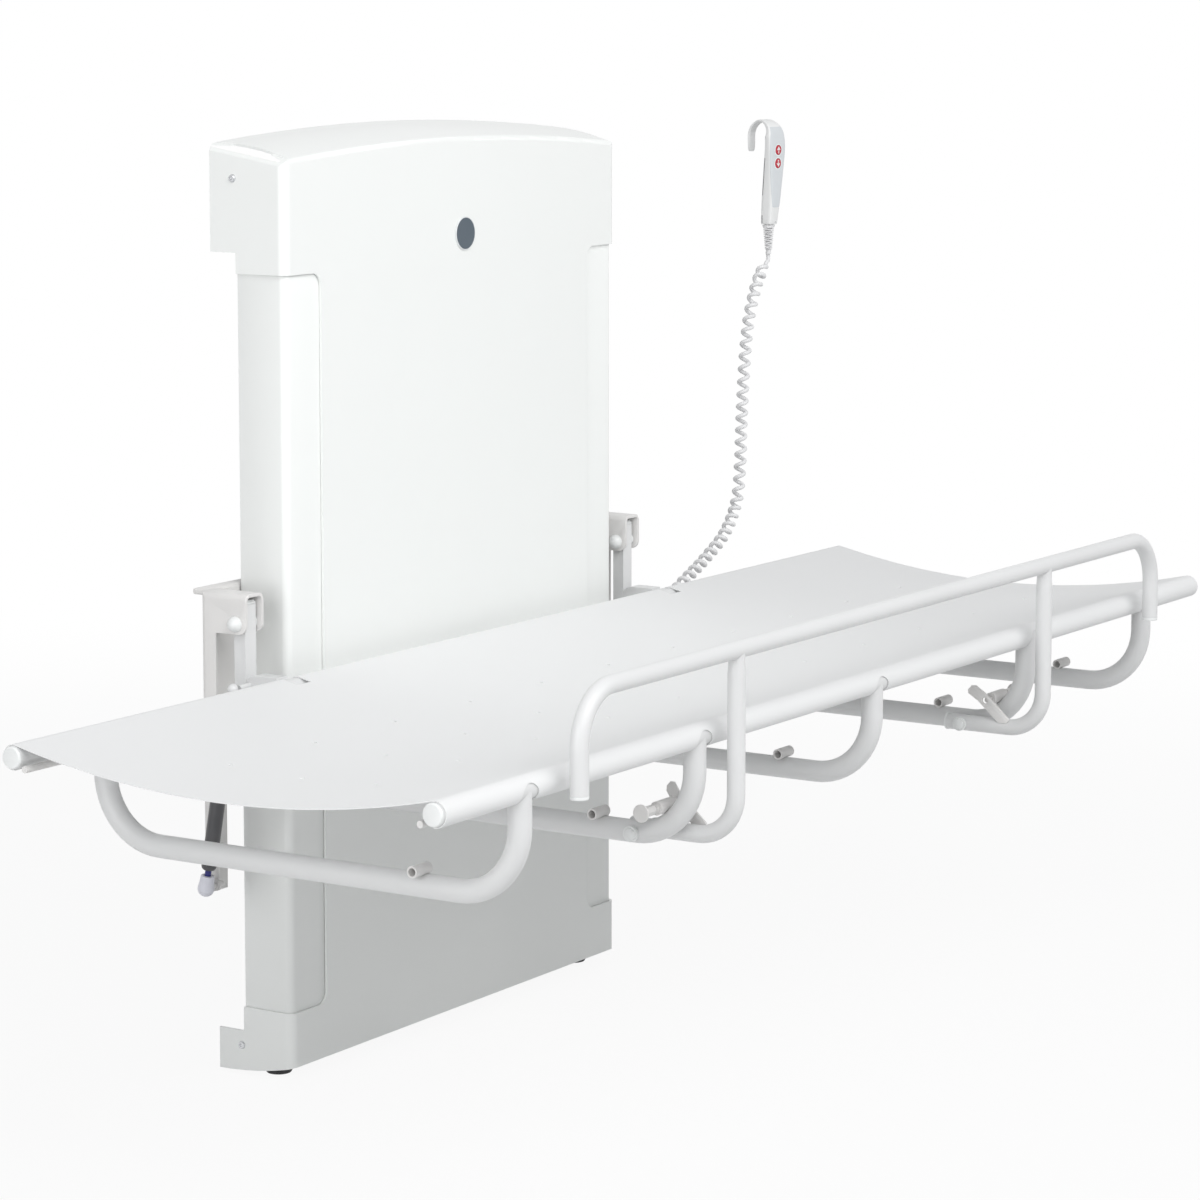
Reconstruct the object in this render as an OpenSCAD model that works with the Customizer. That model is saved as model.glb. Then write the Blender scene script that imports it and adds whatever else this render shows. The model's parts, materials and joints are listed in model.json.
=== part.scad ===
// Wall mounted shower changing table: lift column, lifting carriage, fold-up
// tube frame with a slung mat, and a swing-down guard rail.
// Millimetres. The wall is the plane Y = 0, the room is on the -Y side, +Z is up.
// Heights are counted from the floor and moved down by wall_h at the end, so the
// origin is the middle of the wall bolt pattern.

/* [Column] */
// Width of the column cover
cover_w = 756; // [744:1:770]
// Height of the cover at the rear of its crown
cover_h = 1195; // [1185:1:1215]
// Depth of the cover from the wall to its front
cover_d = 116; // [112:1:120]
// Width of the recessed band on each side of the middle panel
band_w = 73; // [60:1:85]
// Wall thickness of the cover mouldings
cover_t = 3; // [2:0.5:3.5]
// Diameter of the front badge disc
badge_d = 44; // [30:1:60]
// Diameter of the lifting screw
screw_d = 20; // [16:1:22]

/* [Table] */
// Height of the long tubes above the floor, lift at rest
table_h = 515; // [505:1:525]
// Length of the lying surface
table_l = 1900; // [1850:5:1960]
// Width of the table over its long tubes
table_w = 600; // [580:1:620]
// Outside diameter of the frame tubes
tube_d = 26.9; // [26:0.1:27.6]
// Wall thickness of all tubes
tube_t = 2; // [1.5:0.1:2.5]
// Bend radius of the cross tubes
cross_r = 78; // [74:1:82]
// How far the mat hangs down in the middle
mat_sag = 33; // [24:1:40]
// Thickness of the mat
mat_t = 1.2; // [1:0.1:1.5]
// Diameter of a drain hole
drain_d = 6; // [4:0.5:10]

/* [Rail] */
// Length of the guard rail between its end legs
rail_l = 1458; // [1420:2:1480]
// Height of the guard rail above the floor
rail_h = 615; // [600:1:640]
// Outside diameter of the rail tube
rail_d = 21.3; // [20.5:0.1:22]
// Bend radius of the rail corners
rail_r = 62; // [50:1:75]

/* [Handset] */
// Width of the handset
hand_w = 38; // [34:1:42]
// Diameter of the handset cord
cord_d = 6; // [5.5:0.1:6.4]
// Mean diameter of the curls of the cord
curl_d = 13; // [12.6:0.1:13.6]

/* [Gas springs] */
// Diameter of the gas spring cylinder
gas_d = 19; // [17:0.5:20]
// Diameter of the gas spring rod
gas_rod_d = 8; // [7:0.5:9]

/* [Hidden] */
$fn = 48;
eps = 0.01;

// clearances
pin_gap = 0.06;
glide_gap = 0.2;
mat_gap = 0.3;
lap_gap = 0.5;
hole_gap = 0.4;
rail_gap = 2.9;
slide_gap = 0.1;
button_gap = 0.35;
latch_gap = 0.4;
stud_gap = 1.7;

// column
plate_lo = 100;
plate_hi = cover_h - 95;
plate_h = 76;
wall_h = (plate_lo + plate_hi)/2;
panel_w = cover_w - 2*band_w;
cover_z = 4;
crown_r = 4000;
top_r = 354;
base_r = 480;
edge_r = 8;
side_r = 12;
recess = cover_t + lap_gap;
slot_y = 39;
slot_lo = 57;
slot_hi = cover_h - 152;
seam_lo = 88;
seam_hi = cover_h - 178;
seam_r = 16;
lap = 9;
badge_x = 10;
badge_z = cover_h - 145;
cover_screw_y = 35.5;
cover_screw_lo = 38;
cover_screw_hi = cover_h - 60;
foot_x = cover_w/2 - 34;
foot_y = 68;
foot_d = 34;
frame_t = 4;
profile_x = cover_w/2 - 148;
profile_w = 50;
profile_y = 46;
profile_lo = 30;
profile_hi = cover_h - 55;
wall_bolt_x = profile_x + 50;
wall_bolt_d = 11;
plate_half = profile_x + 85;
screw_y = 84;
screw_lo = 168;
screw_hi = profile_hi - 12;
plate_z = 26;
box_x = cover_w/2 - 33;
box_lo = 130;
box_hi = 390;

// carriage
ear_in = cover_w/2 + 24;
ear_out = ear_in + 52;
ear_t = 4;
ear_y = 108;
ear_hi = table_h + 115;
ear_lo = ear_hi - 50;
ear_r = 12;
hang_lo = ear_hi - 381;
hang_step = ear_hi - 150;
hang_y = 37;
hang_w = 24;
pin_y = 92;
pin_z = ear_hi - 37;
pin_d = 12;
beam_y = 14;
beam_h = 34;
bridge_lo = ear_hi - 190;
bridge_y = hang_y + 21;
bridge_t = 6;
glide_h = 58;
nut_lo = ear_hi - 130;
nut_h = 60;

// table
tube_r = tube_d/2;
tube_z = table_h;
back_y = 160;
front_y = back_y + table_w - tube_d;
mid_y = (back_y + front_y)/2;
run_z = tube_z - 121;
arm_x = (ear_in + ear_out)/2;
arm_w = 24;
arm_d = 17;
arm_y = pin_y - arm_d/2;
arm_front = arm_y + arm_d;
arm_lo = tube_z - 15.5;
arm_hi = ear_hi - 14;
arm_h = 30;
arm_r = 14;
cross_in = arm_x - 4;
cross_out = table_l*0.4137;
cross_x = [-cross_out, -cross_in, 0, cross_in, cross_out];
hold_d = 8;
hold_y = tube_r + hold_d/2;
hold_z = tube_z - 12;
mat_end = table_l/2 - 5;
mat_rc = tube_r + mat_gap + mat_t/2;
mat_half = (front_y - back_y)/2;
notch_r = tube_r + 3.5;
drain_pitch = (table_l - 318)/10;
drain_row = 101;
stub_y = 607;
stub_d = 13.5;
stub_l = 30;
stub_off = 8;
stub_z = run_z + tube_r + stub_d/2 - 1.5;

// rail and latches
bar_r = rail_d/2;
rail_y = front_y + 39.4;
leg_x = cross_in - tube_r - rail_gap - bar_r;
leg_r = 50;
pivot_y = 656;
pivot_z = run_z;
pivot_d = 10;
end_lo = rail_h - 113;
latch_rad = cross_r - tube_r - 7.25;
latch_y = front_y - cross_r + latch_rad*0.642;
latch_z = run_z + cross_r - latch_rad*0.766;
sleeve_d = 16.5;
sleeve_in = cross_in - 20;
sleeve_out = cross_in + 18;
plunger_d = 6;
catch_x = leg_x - 8;
catch_t = 3;
catch_w = 15;

// gas springs
gas_x = ear_out + 24;
gas_by = 60;
gas_bz = hang_lo + 14;
gas_ty = 106.5;
gas_tz = tube_z + 8;
ball_r = 5;
socket_r = 8.5;
gas_lean = atan2(gas_ty - gas_by, gas_tz - gas_bz);
gas_l = norm([gas_ty - gas_by, gas_tz - gas_bz]);

// handset and cord
hand_x = 908;
hand_y = 52;
hand_bot = 1016;
hook_y = 9;
hook_z = 129;
hook_r = 31;
hook_t = 3.5;
button_up_z = hand_bot + 112;
button_down_z = hand_bot + 92;
button_r = 7.5;
gland_y = 21;
gland_z = 385;
gland_x = cover_w/2 - 12;
cord_start = [gland_x + 3, -gland_y, gland_z];
cord_end = [hand_x, -hand_y, hand_bot - 42];
cord_route = [
    cord_start,
    [gland_x + 40, -21, 385],
    [gland_x + 84, -21, 386],
    [490, -22, 394],
    [530, -26, 416],
    [570, -32, 440],
    [620, -42, 470],
    [671, -50, 501],
    [722, -56, 529],
    [772, -60, 562],
    [806, -60, 606],
    [816, -60, 660],
    [819, -60, 715],
    [823, -60, 768],
    [829, -60, 825],
    [840, -60, 878],
    [862, -59, 924],
    [886, -56, 948],
    [908, -53, 962],
    cord_end
];
cord_curls = [0, 0, 1, 4, 4, 4, 4, 4, 4, 4, 3, 3, 3, 3, 3, 3, 2, 1, 0];

// Helpers

module placed() {
    translate([0, 0, -wall_h])
        children();
}

module both_sides() {
    children();
    mirror([1, 0, 0])
        children();
}

// a box from one corner to the other
module block(a, b) {
    translate(a)
        cube([b[0] - a[0], b[1] - a[1], b[2] - a[2]]);
}

// a drawing of the front view (X, Z) given depth from y0 back to y1
module front_cut(y0, y1) {
    translate([0, y1, 0])
        rotate([90, 0, 0])
            linear_extrude(y1 - y0)
                children();
}

// a drawing of the side view (Y, Z) given width from x0 to x1
module side_cut(x0, x1) {
    translate([x0, 0, 0])
        rotate([90, 0, 90])
            linear_extrude(x1 - x0)
                children();
}

module bar_x(x0, x1, y, z, r) {
    translate([x0, y, z])
        rotate([0, 90, 0])
            cylinder(h = x1 - x0, r = r);
}

module bar_z(x, y, z0, z1, r) {
    translate([x, y, z0])
        cylinder(h = z1 - z0, r = r);
}

module bar_y(x, y0, y1, z, r) {
    translate([x, y1, z])
        rotate([90, 0, 0])
            cylinder(h = y1 - y0, r = r);
}

module ring2d(r, t) {
    difference() {
        circle(r);
        circle(r - t);
    }
}

// quarter bend in the YZ plane about a centre, from angle a over 90 degrees
module bend_yz(cy, cz, rad, a, r, t) {
    translate([0, cy, cz])
        rotate([90, 0, 90])
            rotate([0, 0, a])
                rotate_extrude(angle = 90)
                    translate([rad, 0])
                        ring2d(r, t);
}

// quarter bend in the XZ plane
module bend_xz(cx, cz, rad, a, r, t) {
    translate([cx, 0, cz])
        rotate([90, 0, 0])
            rotate([0, 0, a])
                rotate_extrude(angle = 90)
                    translate([rad, 0])
                        ring2d(r, t);
}

module pipe_z(x, y, z0, z1, r, t) {
    translate([x, y, z0])
        linear_extrude(z1 - z0)
            ring2d(r, t);
}

module pipe_x(x0, x1, y, z, r, t) {
    translate([x0, y, z])
        rotate([90, 0, 90])
            linear_extrude(x1 - x0)
                ring2d(r, t);
}

module pipe_y(x, y0, y1, z, r, t) {
    translate([x, y1, z])
        rotate([90, 0, 0])
            linear_extrude(y1 - y0)
                ring2d(r, t);
}

// Column cover

// side view of the cover below its crown, inset by t: the base curves up to the front
module cover_side(t) {
    d = cover_d - t;
    lo = cover_z + t;
    intersection() {
        translate([-d, lo])
            square([d + back_gap(t), cover_h - 60 - lo]);
        union() {
            translate([0, lo + base_r])
                circle(base_r, $fn = 360);
            translate([-base_r, lo + base_r])
                square([base_r*2, cover_h]);
        }
    }
}

// the hollow runs out through the open back
function back_gap(t) = t > 0 ? 1 : 0;

// section of the crown, turned about a far axis so that it domes both ways
module crown_section(t) {
    d = cover_d - t;
    r = edge_r;
    drop = top_r - sqrt(top_r*top_r - (d - r)*(d - r));
    intersection() {
        union() {
            translate([crown_r - t - 80, -back_gap(t)])
                square([90, d - r + back_gap(t)]);
            translate([crown_r - t - 80, 0])
                square([80 - drop - r, d]);
            translate([crown_r - t - drop - r, d - r])
                circle(r, $fn = 48);
        }
        translate([crown_r - t - top_r, 0])
            circle(top_r, $fn = 360);
    }
}

module crown(t) {
    translate([0, 0, cover_h - crown_r])
        rotate([90, 0, 0])
            rotate([0, 0, 83])
                rotate_extrude(angle = 14, $fn = 720)
                    crown_section(t);
}

// what is cut off along the upright front corners
module corner_cut(t) {
    w = cover_w/2 - t;
    d = cover_d - t;
    r = side_r - t/2;
    both_sides()
        difference() {
            translate([w - r, -d - 10, -10])
                cube([r + 10, r + 10, cover_h + 60]);
            translate([w - r, -d + r, -20])
                cylinder(h = cover_h + 90, r = r);
        }
}

module cover_form(t) {
    w = cover_w/2 - t;
    difference() {
        intersection() {
            union() {
                side_cut(-cover_w, cover_w)
                    cover_side(t);
                crown(t);
            }
            block([-w, -cover_d - 20, -5], [w, 20, cover_h + 50]);
        }
        corner_cut(t);
    }
}

// takes the sharp corner off the crown along both sides
module shoulder_cut(t) {
    r = 16;
    drop = cover_w*cover_w/8/crown_r;
    both_sides()
        translate([cover_w/2 - t, 0, cover_h - t - drop])
            rotate([9.5, 0, 0])
                difference() {
                    translate([-r + 1, -160, -r + 1])
                        cube([r + 5, 180, r + 20]);
                    translate([-r + 1, 30, -r + 2])
                        rotate([90, 0, 0])
                            cylinder(h = 200, r = r);
                }
}

// the opening beside the middle panel, grown by g
module seam_window(g) {
    x0 = panel_w/2 - g;
    z0 = seam_lo - g;
    z1 = seam_hi + g;
    translate([x0 + seam_r, z0])
        square([cover_w - x0, z1 - z0]);
    translate([x0, z0 + seam_r])
        square([cover_w, z1 - z0 - 2*seam_r]);
    for (z = [z0 + seam_r, z1 - seam_r])
        translate([x0 + seam_r, z])
            circle(seam_r);
}

module column_cover() {
    color([0.95, 0.96, 0.95])
        placed()
            difference() {
                cover_form(0);
                shoulder_cut(0);
                cover_form(cover_t);
                both_sides()
                    front_cut(-cover_d - 5, 5)
                        seam_window(0);
                both_sides()
                    block([cover_w/2 - 60, -slot_y, slot_lo], [cover_w/2 + 5, 5, slot_hi]);
                both_sides()
                    bar_z(foot_x, -foot_y, -2, 40, foot_d/2 + hole_gap);
                for (z = [cover_screw_lo, cover_screw_hi])
                    bar_x(-cover_w, cover_w, -cover_screw_y, z, 3 + hole_gap);
                bar_y(badge_x, -cover_d - 5, -cover_d + 15, badge_z, 4 + hole_gap);
            }
}

module side_panel() {
    difference() {
        cover_form(recess);
        cover_form(recess + cover_t);
        block([-cover_w, -cover_d - 5, -5], [panel_w/2 - lap, 5, cover_h + 5]);
        block([0, -cover_d - 5, -5], [cover_w, 5, seam_lo - lap]);
        block([0, -cover_d - 5, seam_hi + lap], [cover_w, 5, cover_h + 5]);
        block([0, -slot_y, -5], [cover_w, 5, cover_h + 5]);
    }
}

module side_panel_right() {
    color([0.95, 0.96, 0.95])
        placed()
            side_panel();
}

module side_panel_left() {
    color([0.95, 0.96, 0.95])
        placed()
            mirror([1, 0, 0])
                side_panel();
}

module badge_disc() {
    color([0.27, 0.31, 0.35])
        placed() {
            bar_y(badge_x, -cover_d - 2.2, -cover_d - 1, badge_z, badge_d/2 - 1.6);
            bar_y(badge_x, -cover_d - 1, -cover_d + cover_t + 4, badge_z, 4);
        }
}

module badge_ring() {
    color([0.92, 0.93, 0.93])
        placed()
            difference() {
                bar_y(badge_x, -cover_d - 2, -cover_d, badge_z, badge_d/2);
                bar_y(badge_x, -cover_d - 5, -cover_d - 1, badge_z, badge_d/2 - 1.6);
                bar_y(badge_x, -cover_d - 5, -cover_d + 5, badge_z, 4);
            }
}

module cover_screws() {
    color([0.75, 0.75, 0.76])
        placed()
            both_sides()
                for (z = [cover_screw_lo, cover_screw_hi])
                    difference() {
                        union() {
                            translate([cover_w/2, -cover_screw_y, z])
                                rotate([0, 90, 0])
                                    cylinder(h = 2.8, r1 = 5.2, r2 = 4);
                            bar_x(cover_w/2 - 14, cover_w/2 + eps, -cover_screw_y, z, 3);
                        }
                        translate([cover_w/2 + 1, -cover_screw_y, z])
                            rotate([0, 90, 0])
                                cylinder(h = 5, r = 2.3, $fn = 6);
                    }
}

// Column inside

module guide_profile() {
    x0 = profile_x - profile_w/2;
    x1 = profile_x + profile_w/2;
    difference() {
        block([x0, -profile_y - profile_w, profile_lo], [x1, -profile_y, profile_hi]);
        block([x0 + frame_t, -profile_y - profile_w + frame_t, profile_lo - 1],
            [x1 - frame_t, -profile_y - frame_t, profile_hi + 1]);
        block([x0 - 1, -profile_y - profile_w + 15, profile_lo - 1],
            [x0 + frame_t + 1, -profile_y - 15, profile_hi + 1]);
    }
}

module guide_profiles() {
    color([0.72, 0.73, 0.75])
        placed()
            both_sides()
                guide_profile();
}

// floor plate with upturned ends for the cover screws and the feet
module end_frame(z, tab_lo, tab_hi, screw_z) {
    w = cover_w/2 - cover_t - lap_gap;
    difference() {
        union() {
            block([-w, -102, z], [w, -12, z + frame_t]);
            both_sides()
                block([w - frame_t, -60, tab_lo], [w, -12, tab_hi]);
        }
        bar_x(-cover_w, cover_w, -cover_screw_y, screw_z, 3);
    }
}

module base_frame() {
    color([0.72, 0.73, 0.75])
        placed()
            difference() {
                end_frame(plate_z, plate_z, plate_z + 28, cover_screw_lo);
                both_sides()
                    bar_z(foot_x, -foot_y, plate_z - 1, plate_z + 10, 5);
            }
}

module top_frame() {
    color([0.72, 0.73, 0.75])
        placed()
            difference() {
                end_frame(profile_hi, cover_screw_hi - 14, profile_hi + frame_t, cover_screw_hi);
                bar_z(0, -screw_y, profile_hi - 1, profile_hi + 10, 9);
            }
}

// the two plates that are bolted to the wall, with the stand-offs to the profiles
module wall_plates() {
    color([0.72, 0.73, 0.75])
        placed()
            difference() {
                union()
                    for (z = [plate_lo, plate_hi]) {
                        block([-plate_half, -frame_t, z - plate_h/2], [plate_half, 0, z + plate_h/2]);
                        both_sides()
                            block([profile_x - 16, -profile_y, z - 22],
                                [profile_x + 16, -frame_t, z + 22]);
                    }
                both_sides()
                    for (z = [plate_lo, plate_hi])
                        bar_y(wall_bolt_x, -frame_t - 1, 1, z, wall_bolt_d/2);
            }
}

module levelling_feet() {
    color([0.13, 0.13, 0.14])
        placed()
            both_sides() {
                translate([foot_x, -foot_y, 0])
                    cylinder(h = 3, r1 = foot_d/2 - 1.5, r2 = foot_d/2);
                bar_z(foot_x, -foot_y, 3, 9, foot_d/2);
                bar_z(foot_x, -foot_y, 9, plate_z + 22, 5);
            }
}

module gear_motor() {
    color([0.2, 0.2, 0.22])
        placed() {
            difference() {
                block([-45, -108, plate_z + frame_t], [45, -60, plate_z + 100]);
                bar_z(0, -screw_y, plate_z + 70, plate_z + 120, screw_d/2 + 6);
            }
            bar_x(45, 165, -screw_y, plate_z + 60, 24);
            bar_x(165, 172, -screw_y, plate_z + 60, 20);
        }
}

module lifting_screw() {
    color([0.6, 0.61, 0.63])
        placed() {
            bar_z(0, -screw_y, plate_z + 74, screw_lo, screw_d/2 - 4);
            difference() {
                bar_z(0, -screw_y, screw_lo, screw_hi, screw_d/2);
                for (i = [0 : 38])
                    translate([0, -screw_y, screw_lo + 8 + i*24])
                        rotate_extrude()
                            translate([screw_d/2 - 1.5, 0])
                                square([3, 8]);
            }
            bar_z(0, -screw_y, screw_hi, profile_hi + 12, screw_d/2 - 5);
        }
}

module screw_bearings() {
    color([0.35, 0.36, 0.38])
        placed() {
            difference() {
                bar_z(0, -screw_y, plate_z + 100, screw_lo - 4, 22);
                bar_z(0, -screw_y, plate_z + 90, screw_lo + 1, screw_d/2 - 4);
            }
            difference() {
                union() {
                    bar_z(0, -screw_y, profile_hi, profile_hi + frame_t, 9);
                    bar_z(0, -screw_y, profile_hi + frame_t, profile_hi + 10, 18);
                }
                bar_z(0, -screw_y, profile_hi - 1, profile_hi + 14, screw_d/2 - 5);
            }
        }
}

module control_box() {
    color([0.3, 0.31, 0.33])
        placed() {
            difference() {
                block([-box_x, -106, box_lo], [-profile_x - profile_w/2, -56, box_hi]);
                for (i = [0 : 5])
                    block([-box_x - 1, -98, box_hi - 60 + i*9], [-box_x + 3, -64, box_hi - 56 + i*9]);
            }
            for (y = [-92, -78, -64])
                bar_z(-box_x + 45, y, box_lo - 8, box_lo, 4);
        }
}

module cable_bracket() {
    x0 = profile_x + profile_w/2;
    color([0.72, 0.73, 0.75])
        placed()
            difference() {
                union() {
                    block([x0, -profile_y - 20, gland_z - 13], [x0 + 3, -9, gland_z + 13]);
                    block([x0, -12, gland_z - 13], [gland_x, -9, gland_z + 13]);
                    block([gland_x - 3, -34, gland_z - 13], [gland_x, -9, gland_z + 13]);
                }
                bar_x(gland_x - 9, gland_x + 5, -gland_y, gland_z, 5);
            }
}

module cord_gland() {
    color([0.25, 0.26, 0.28])
        placed()
            difference() {
                union() {
                    bar_x(gland_x - 10, gland_x, -gland_y, gland_z, 5);
                    bar_x(gland_x, gland_x + 7, -gland_y, gland_z, 8);
                }
                bar_x(gland_x + 3, gland_x + 8, -gland_y, gland_z, cord_d/2 + 0.05);
            }
}

// Curly cord: one tube along a smoothed route

function spline(a, b, c, d, t) =
    0.5*((2*b) + (c - a)*t + (2*a - 5*b + 4*c - d)*t*t + (3*b - a - 3*c + d)*t*t*t);
function route_at(i, t) =
    let (n = len(cord_route))
    spline(cord_route[max(i - 1, 0)], cord_route[i], cord_route[i + 1],
        cord_route[min(i + 2, n - 1)], t);
function unit(v) = v/norm(v);
function total(v, n) = n <= 0 ? 0 : v[n - 1] + total(v, n - 1);

rings = 8;
cord_steps = [for (i = [0 : len(cord_curls) - 1])
    let (n = max(3, cord_curls[i]*rings))
    for (k = [0 : n - 1])
        [i, k/n, total(cord_curls, i) + cord_curls[i]*k/n]];
all_curls = total(cord_curls, len(cord_curls));
function swell(c) =
    let (u = min(c, all_curls - c)/1.25)
    u >= 1 ? 1 : u <= 0 ? 0 : u*u*(3 - 2*u);
function cord_axis(s) = route_at(s[0], s[1]);
function cord_point(s) =
    let (p = cord_axis(s), q = route_at(s[0], s[1] + 0.01))
    let (t = unit(q - p), n = unit(cross(t, [0, 1, 0])), b = cross(t, n))
    p + curl_d/2*swell(s[2])*(cos(360*s[2])*n + sin(360*s[2])*b);
function cord_side(s) =
    let (p = cord_axis(s), q = route_at(s[0], s[1] + 0.01))
    let (t = unit(q - p), n = unit(cross(t, [0, 1, 0])), b = cross(t, n))
    cos(360*s[2])*n + sin(360*s[2])*b;

cord_line = concat([for (s = cord_steps) cord_point(s)], [cord_end]);
cord_mark = concat([for (s = cord_steps) cord_side(s)], [cord_side([18, 0.98, all_curls])]);
cord_n = len(cord_line);
cord_gap = min([for (i = [0 : cord_n - 1]) for (j = [i + 5 : 1 : min(cord_n - 1, i + 40)])
    norm(cord_line[i] - cord_line[j])]) - cord_d;
function cord_dir(i) = i == 0 ? [1, 0, 0] : i == cord_n - 1 ? [0, 0, 1] :
    unit(cord_line[i + 1] - cord_line[i - 1]);

module cord_tube() {
    sides = 6;
    pts = [for (i = [0 : cord_n - 1])
        let (t = cord_dir(i), m = cord_mark[i])
        let (u = unit(m - (m*t)*t), v = cross(t, u))
        for (k = [0 : sides - 1])
            cord_line[i] + cord_d/2*(cos(360*k/sides)*u + sin(360*k/sides)*v)];
    walls = [for (i = [0 : cord_n - 2]) for (k = [0 : sides - 1])
        let (a = i*sides + k, b = i*sides + (k + 1) % sides)
        for (f = [[a, b, a + sides], [b, b + sides, a + sides]]) f];
    m0 = len(pts);
    caps = [for (k = [0 : sides - 1])
        for (f = [[m0, (k + 1) % sides, k],
            [m0 + 1, (cord_n - 1)*sides + k, (cord_n - 1)*sides + (k + 1) % sides]]) f];
    polyhedron(concat(pts, [cord_line[0], cord_line[cord_n - 1]]), concat(walls, caps),
        convexity = 10);
}

module cord() {
    echo(cord_gap = cord_gap, curls = all_curls, rings = cord_n);
    color([0.9, 0.9, 0.9])
        placed()
            cord_tube();
}

// Handset: a moulded grip that runs on into the hanging hook. Its stations are
// [front, back, height, share of the width], counted from the foot of the handset

grip = [[-11, 7, 0, 0.66], [-16, 5.3, 29, 0.74], [-21, 2.7, 59, 0.84],
    [-25.5, -0.8, 92, 0.96], [-26.5, -2.8, 112, 1], [-25, -4.5, 132, 0.97]];
hand_sides = 20;

// the hook is an arc about [hook_y, hook_z] that thickens towards the grip
function arc_point(a, r) = [hook_y + r*cos(a), hook_z + r*sin(a)];
function hook_out(a) = hook_r + 3.1*pow(max(0, a - 115)/52, 1.5);
function hook_in(a) = hook_r - hook_t - 13.7*pow(max(0, a - 90)/77, 1.3);
function hook_share(a) = 0.53 + 0.42*pow(max(0, a - 60)/100, 1.5);
hand_stations = concat(
    [for (s = grip) [[s[0], s[2]], [s[1], s[2]], s[3]]],
    [for (a = [160 : -15 : 10]) [arc_point(a, hook_out(a)), arc_point(a, hook_in(a)), hook_share(a)]],
    [for (v = [[0, 0.53], [14, 0.53], [20, 0.47], [23, 0.3]])
        [[hook_y + hook_r, hook_z - v[0]], [hook_y + hook_r - hook_t, hook_z - v[0]], v[1]]]);

// a rounded oblong round each station, grown by g
function swing(v) = sign(v)*pow(abs(v), 0.62);
function station_ring(s, g) =
    let (m = (s[0] + s[1])/2, h = (s[0] - s[1])/2)
    [for (k = [0 : hand_sides - 1])
        let (a = 360*k/hand_sides, p = m + h*(1 + g/norm(h))*swing(cos(a)))
        [(s[2]*hand_w/2 + g)*swing(sin(a)), p[0], p[1]]];

module hand_form(g) {
    n = len(hand_stations);
    m = hand_sides;
    pts = [for (s = hand_stations) for (p = station_ring(s, g)) p];
    walls = [for (i = [0 : n - 2]) for (k = [0 : m - 1])
        let (a = i*m + k, b = i*m + (k + 1) % m)
        for (f = [[a, a + m, b], [b, a + m, b + m]]) f];
    ends = [for (k = [1 : m - 2])
        for (f = [[0, k, k + 1], [(n - 1)*m, (n - 1)*m + k + 1, (n - 1)*m + k]]) f];
    translate([hand_x, -hand_y, hand_bot])
        polyhedron(pts, concat(walls, ends), convexity = 6);
}

module button_holes() {
    for (z = [button_up_z, button_down_z])
        bar_y(hand_x, -hand_y - 40, -hand_y - 12, z, button_r + button_gap);
}

module handset_body() {
    color([0.93, 0.93, 0.92])
        placed()
            difference() {
                hand_form(0);
                button_holes();
                bar_z(hand_x, -hand_y - 2, hand_bot - 1, hand_bot + 12, 6.5);
                for (s = [-1, 1])
                    translate([hand_x + s*(hand_w/2 + 3), -hand_y - 5, hand_bot + 52])
                        cube([19, 2, 32], center = true);
            }
}

module handset_overlay() {
    color([0.82, 0.85, 0.87])
        placed()
            difference() {
                intersection() {
                    hand_form(0.5);
                    translate([hand_x, 0, hand_bot])
                        front_cut(-hand_y - 60, -hand_y - 14)
                            polygon([[-15, 143], [15, 143], [16, 112], [9, 26], [-9, 26], [-16, 112]]);
                }
                hand_form(0);
                button_holes();
            }
}

module hand_button(z) {
    color([0.72, 0.1, 0.12])
        placed() {
            bar_y(hand_x, -hand_y - 27.6, -hand_y - 14, z, button_r);
            bar_y(hand_x, -hand_y - 28.4, -hand_y - 27.6, z, button_r - 1);
        }
}

module button_up() {
    hand_button(button_up_z);
}

module button_down() {
    hand_button(button_down_z);
}

// tapered sleeve with grooves, plugged into the foot of the handset
module strain_relief() {
    lo = cord_end[2] - 3;
    grooves = 5;
    pitch = (hand_bot - 3 - lo)/(grooves + 1);
    color([0.9, 0.9, 0.89])
        placed()
            translate([hand_x, -hand_y - 2, 0])
                difference() {
                    union() {
                        bar_z(0, 0, hand_bot, hand_bot + 12, 6.5);
                        bar_z(0, 0, hand_bot - 3, hand_bot, 9);
                        translate([0, 0, lo])
                            cylinder(h = hand_bot - 3 - lo, r1 = 4.6, r2 = 8);
                    }
                    bar_z(0, 2, lo - 1, cord_end[2], cord_d/2 + 0.05);
                    for (i = [1 : grooves])
                        translate([0, 0, lo + i*pitch])
                            rotate_extrude()
                                translate([3.9 + i*0.56, 0])
                                    square([8, 2.4]);
                }
}

// Carriage

module carriage_beam() {
    w = ear_in + 38;
    color([0.86, 0.86, 0.85])
        placed() {
            block([-ear_in - 16, -hang_y, ear_hi - beam_h], [ear_in + 16, -beam_y, ear_hi]);
            both_sides()
                block([ear_in + 16, -hang_y, ear_hi - 8], [w, -beam_y, ear_hi]);
        }
}

module carriage_bridge() {
    x = profile_x - profile_w/2 - 3;
    color([0.7, 0.71, 0.73])
        placed() {
            block([-150, -bridge_y, ear_hi - beam_h + 4], [150, -hang_y, ear_hi - 6]);
            block([-x, -bridge_y - bridge_t, bridge_lo], [x, -bridge_y, ear_hi]);
        }
}

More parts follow.
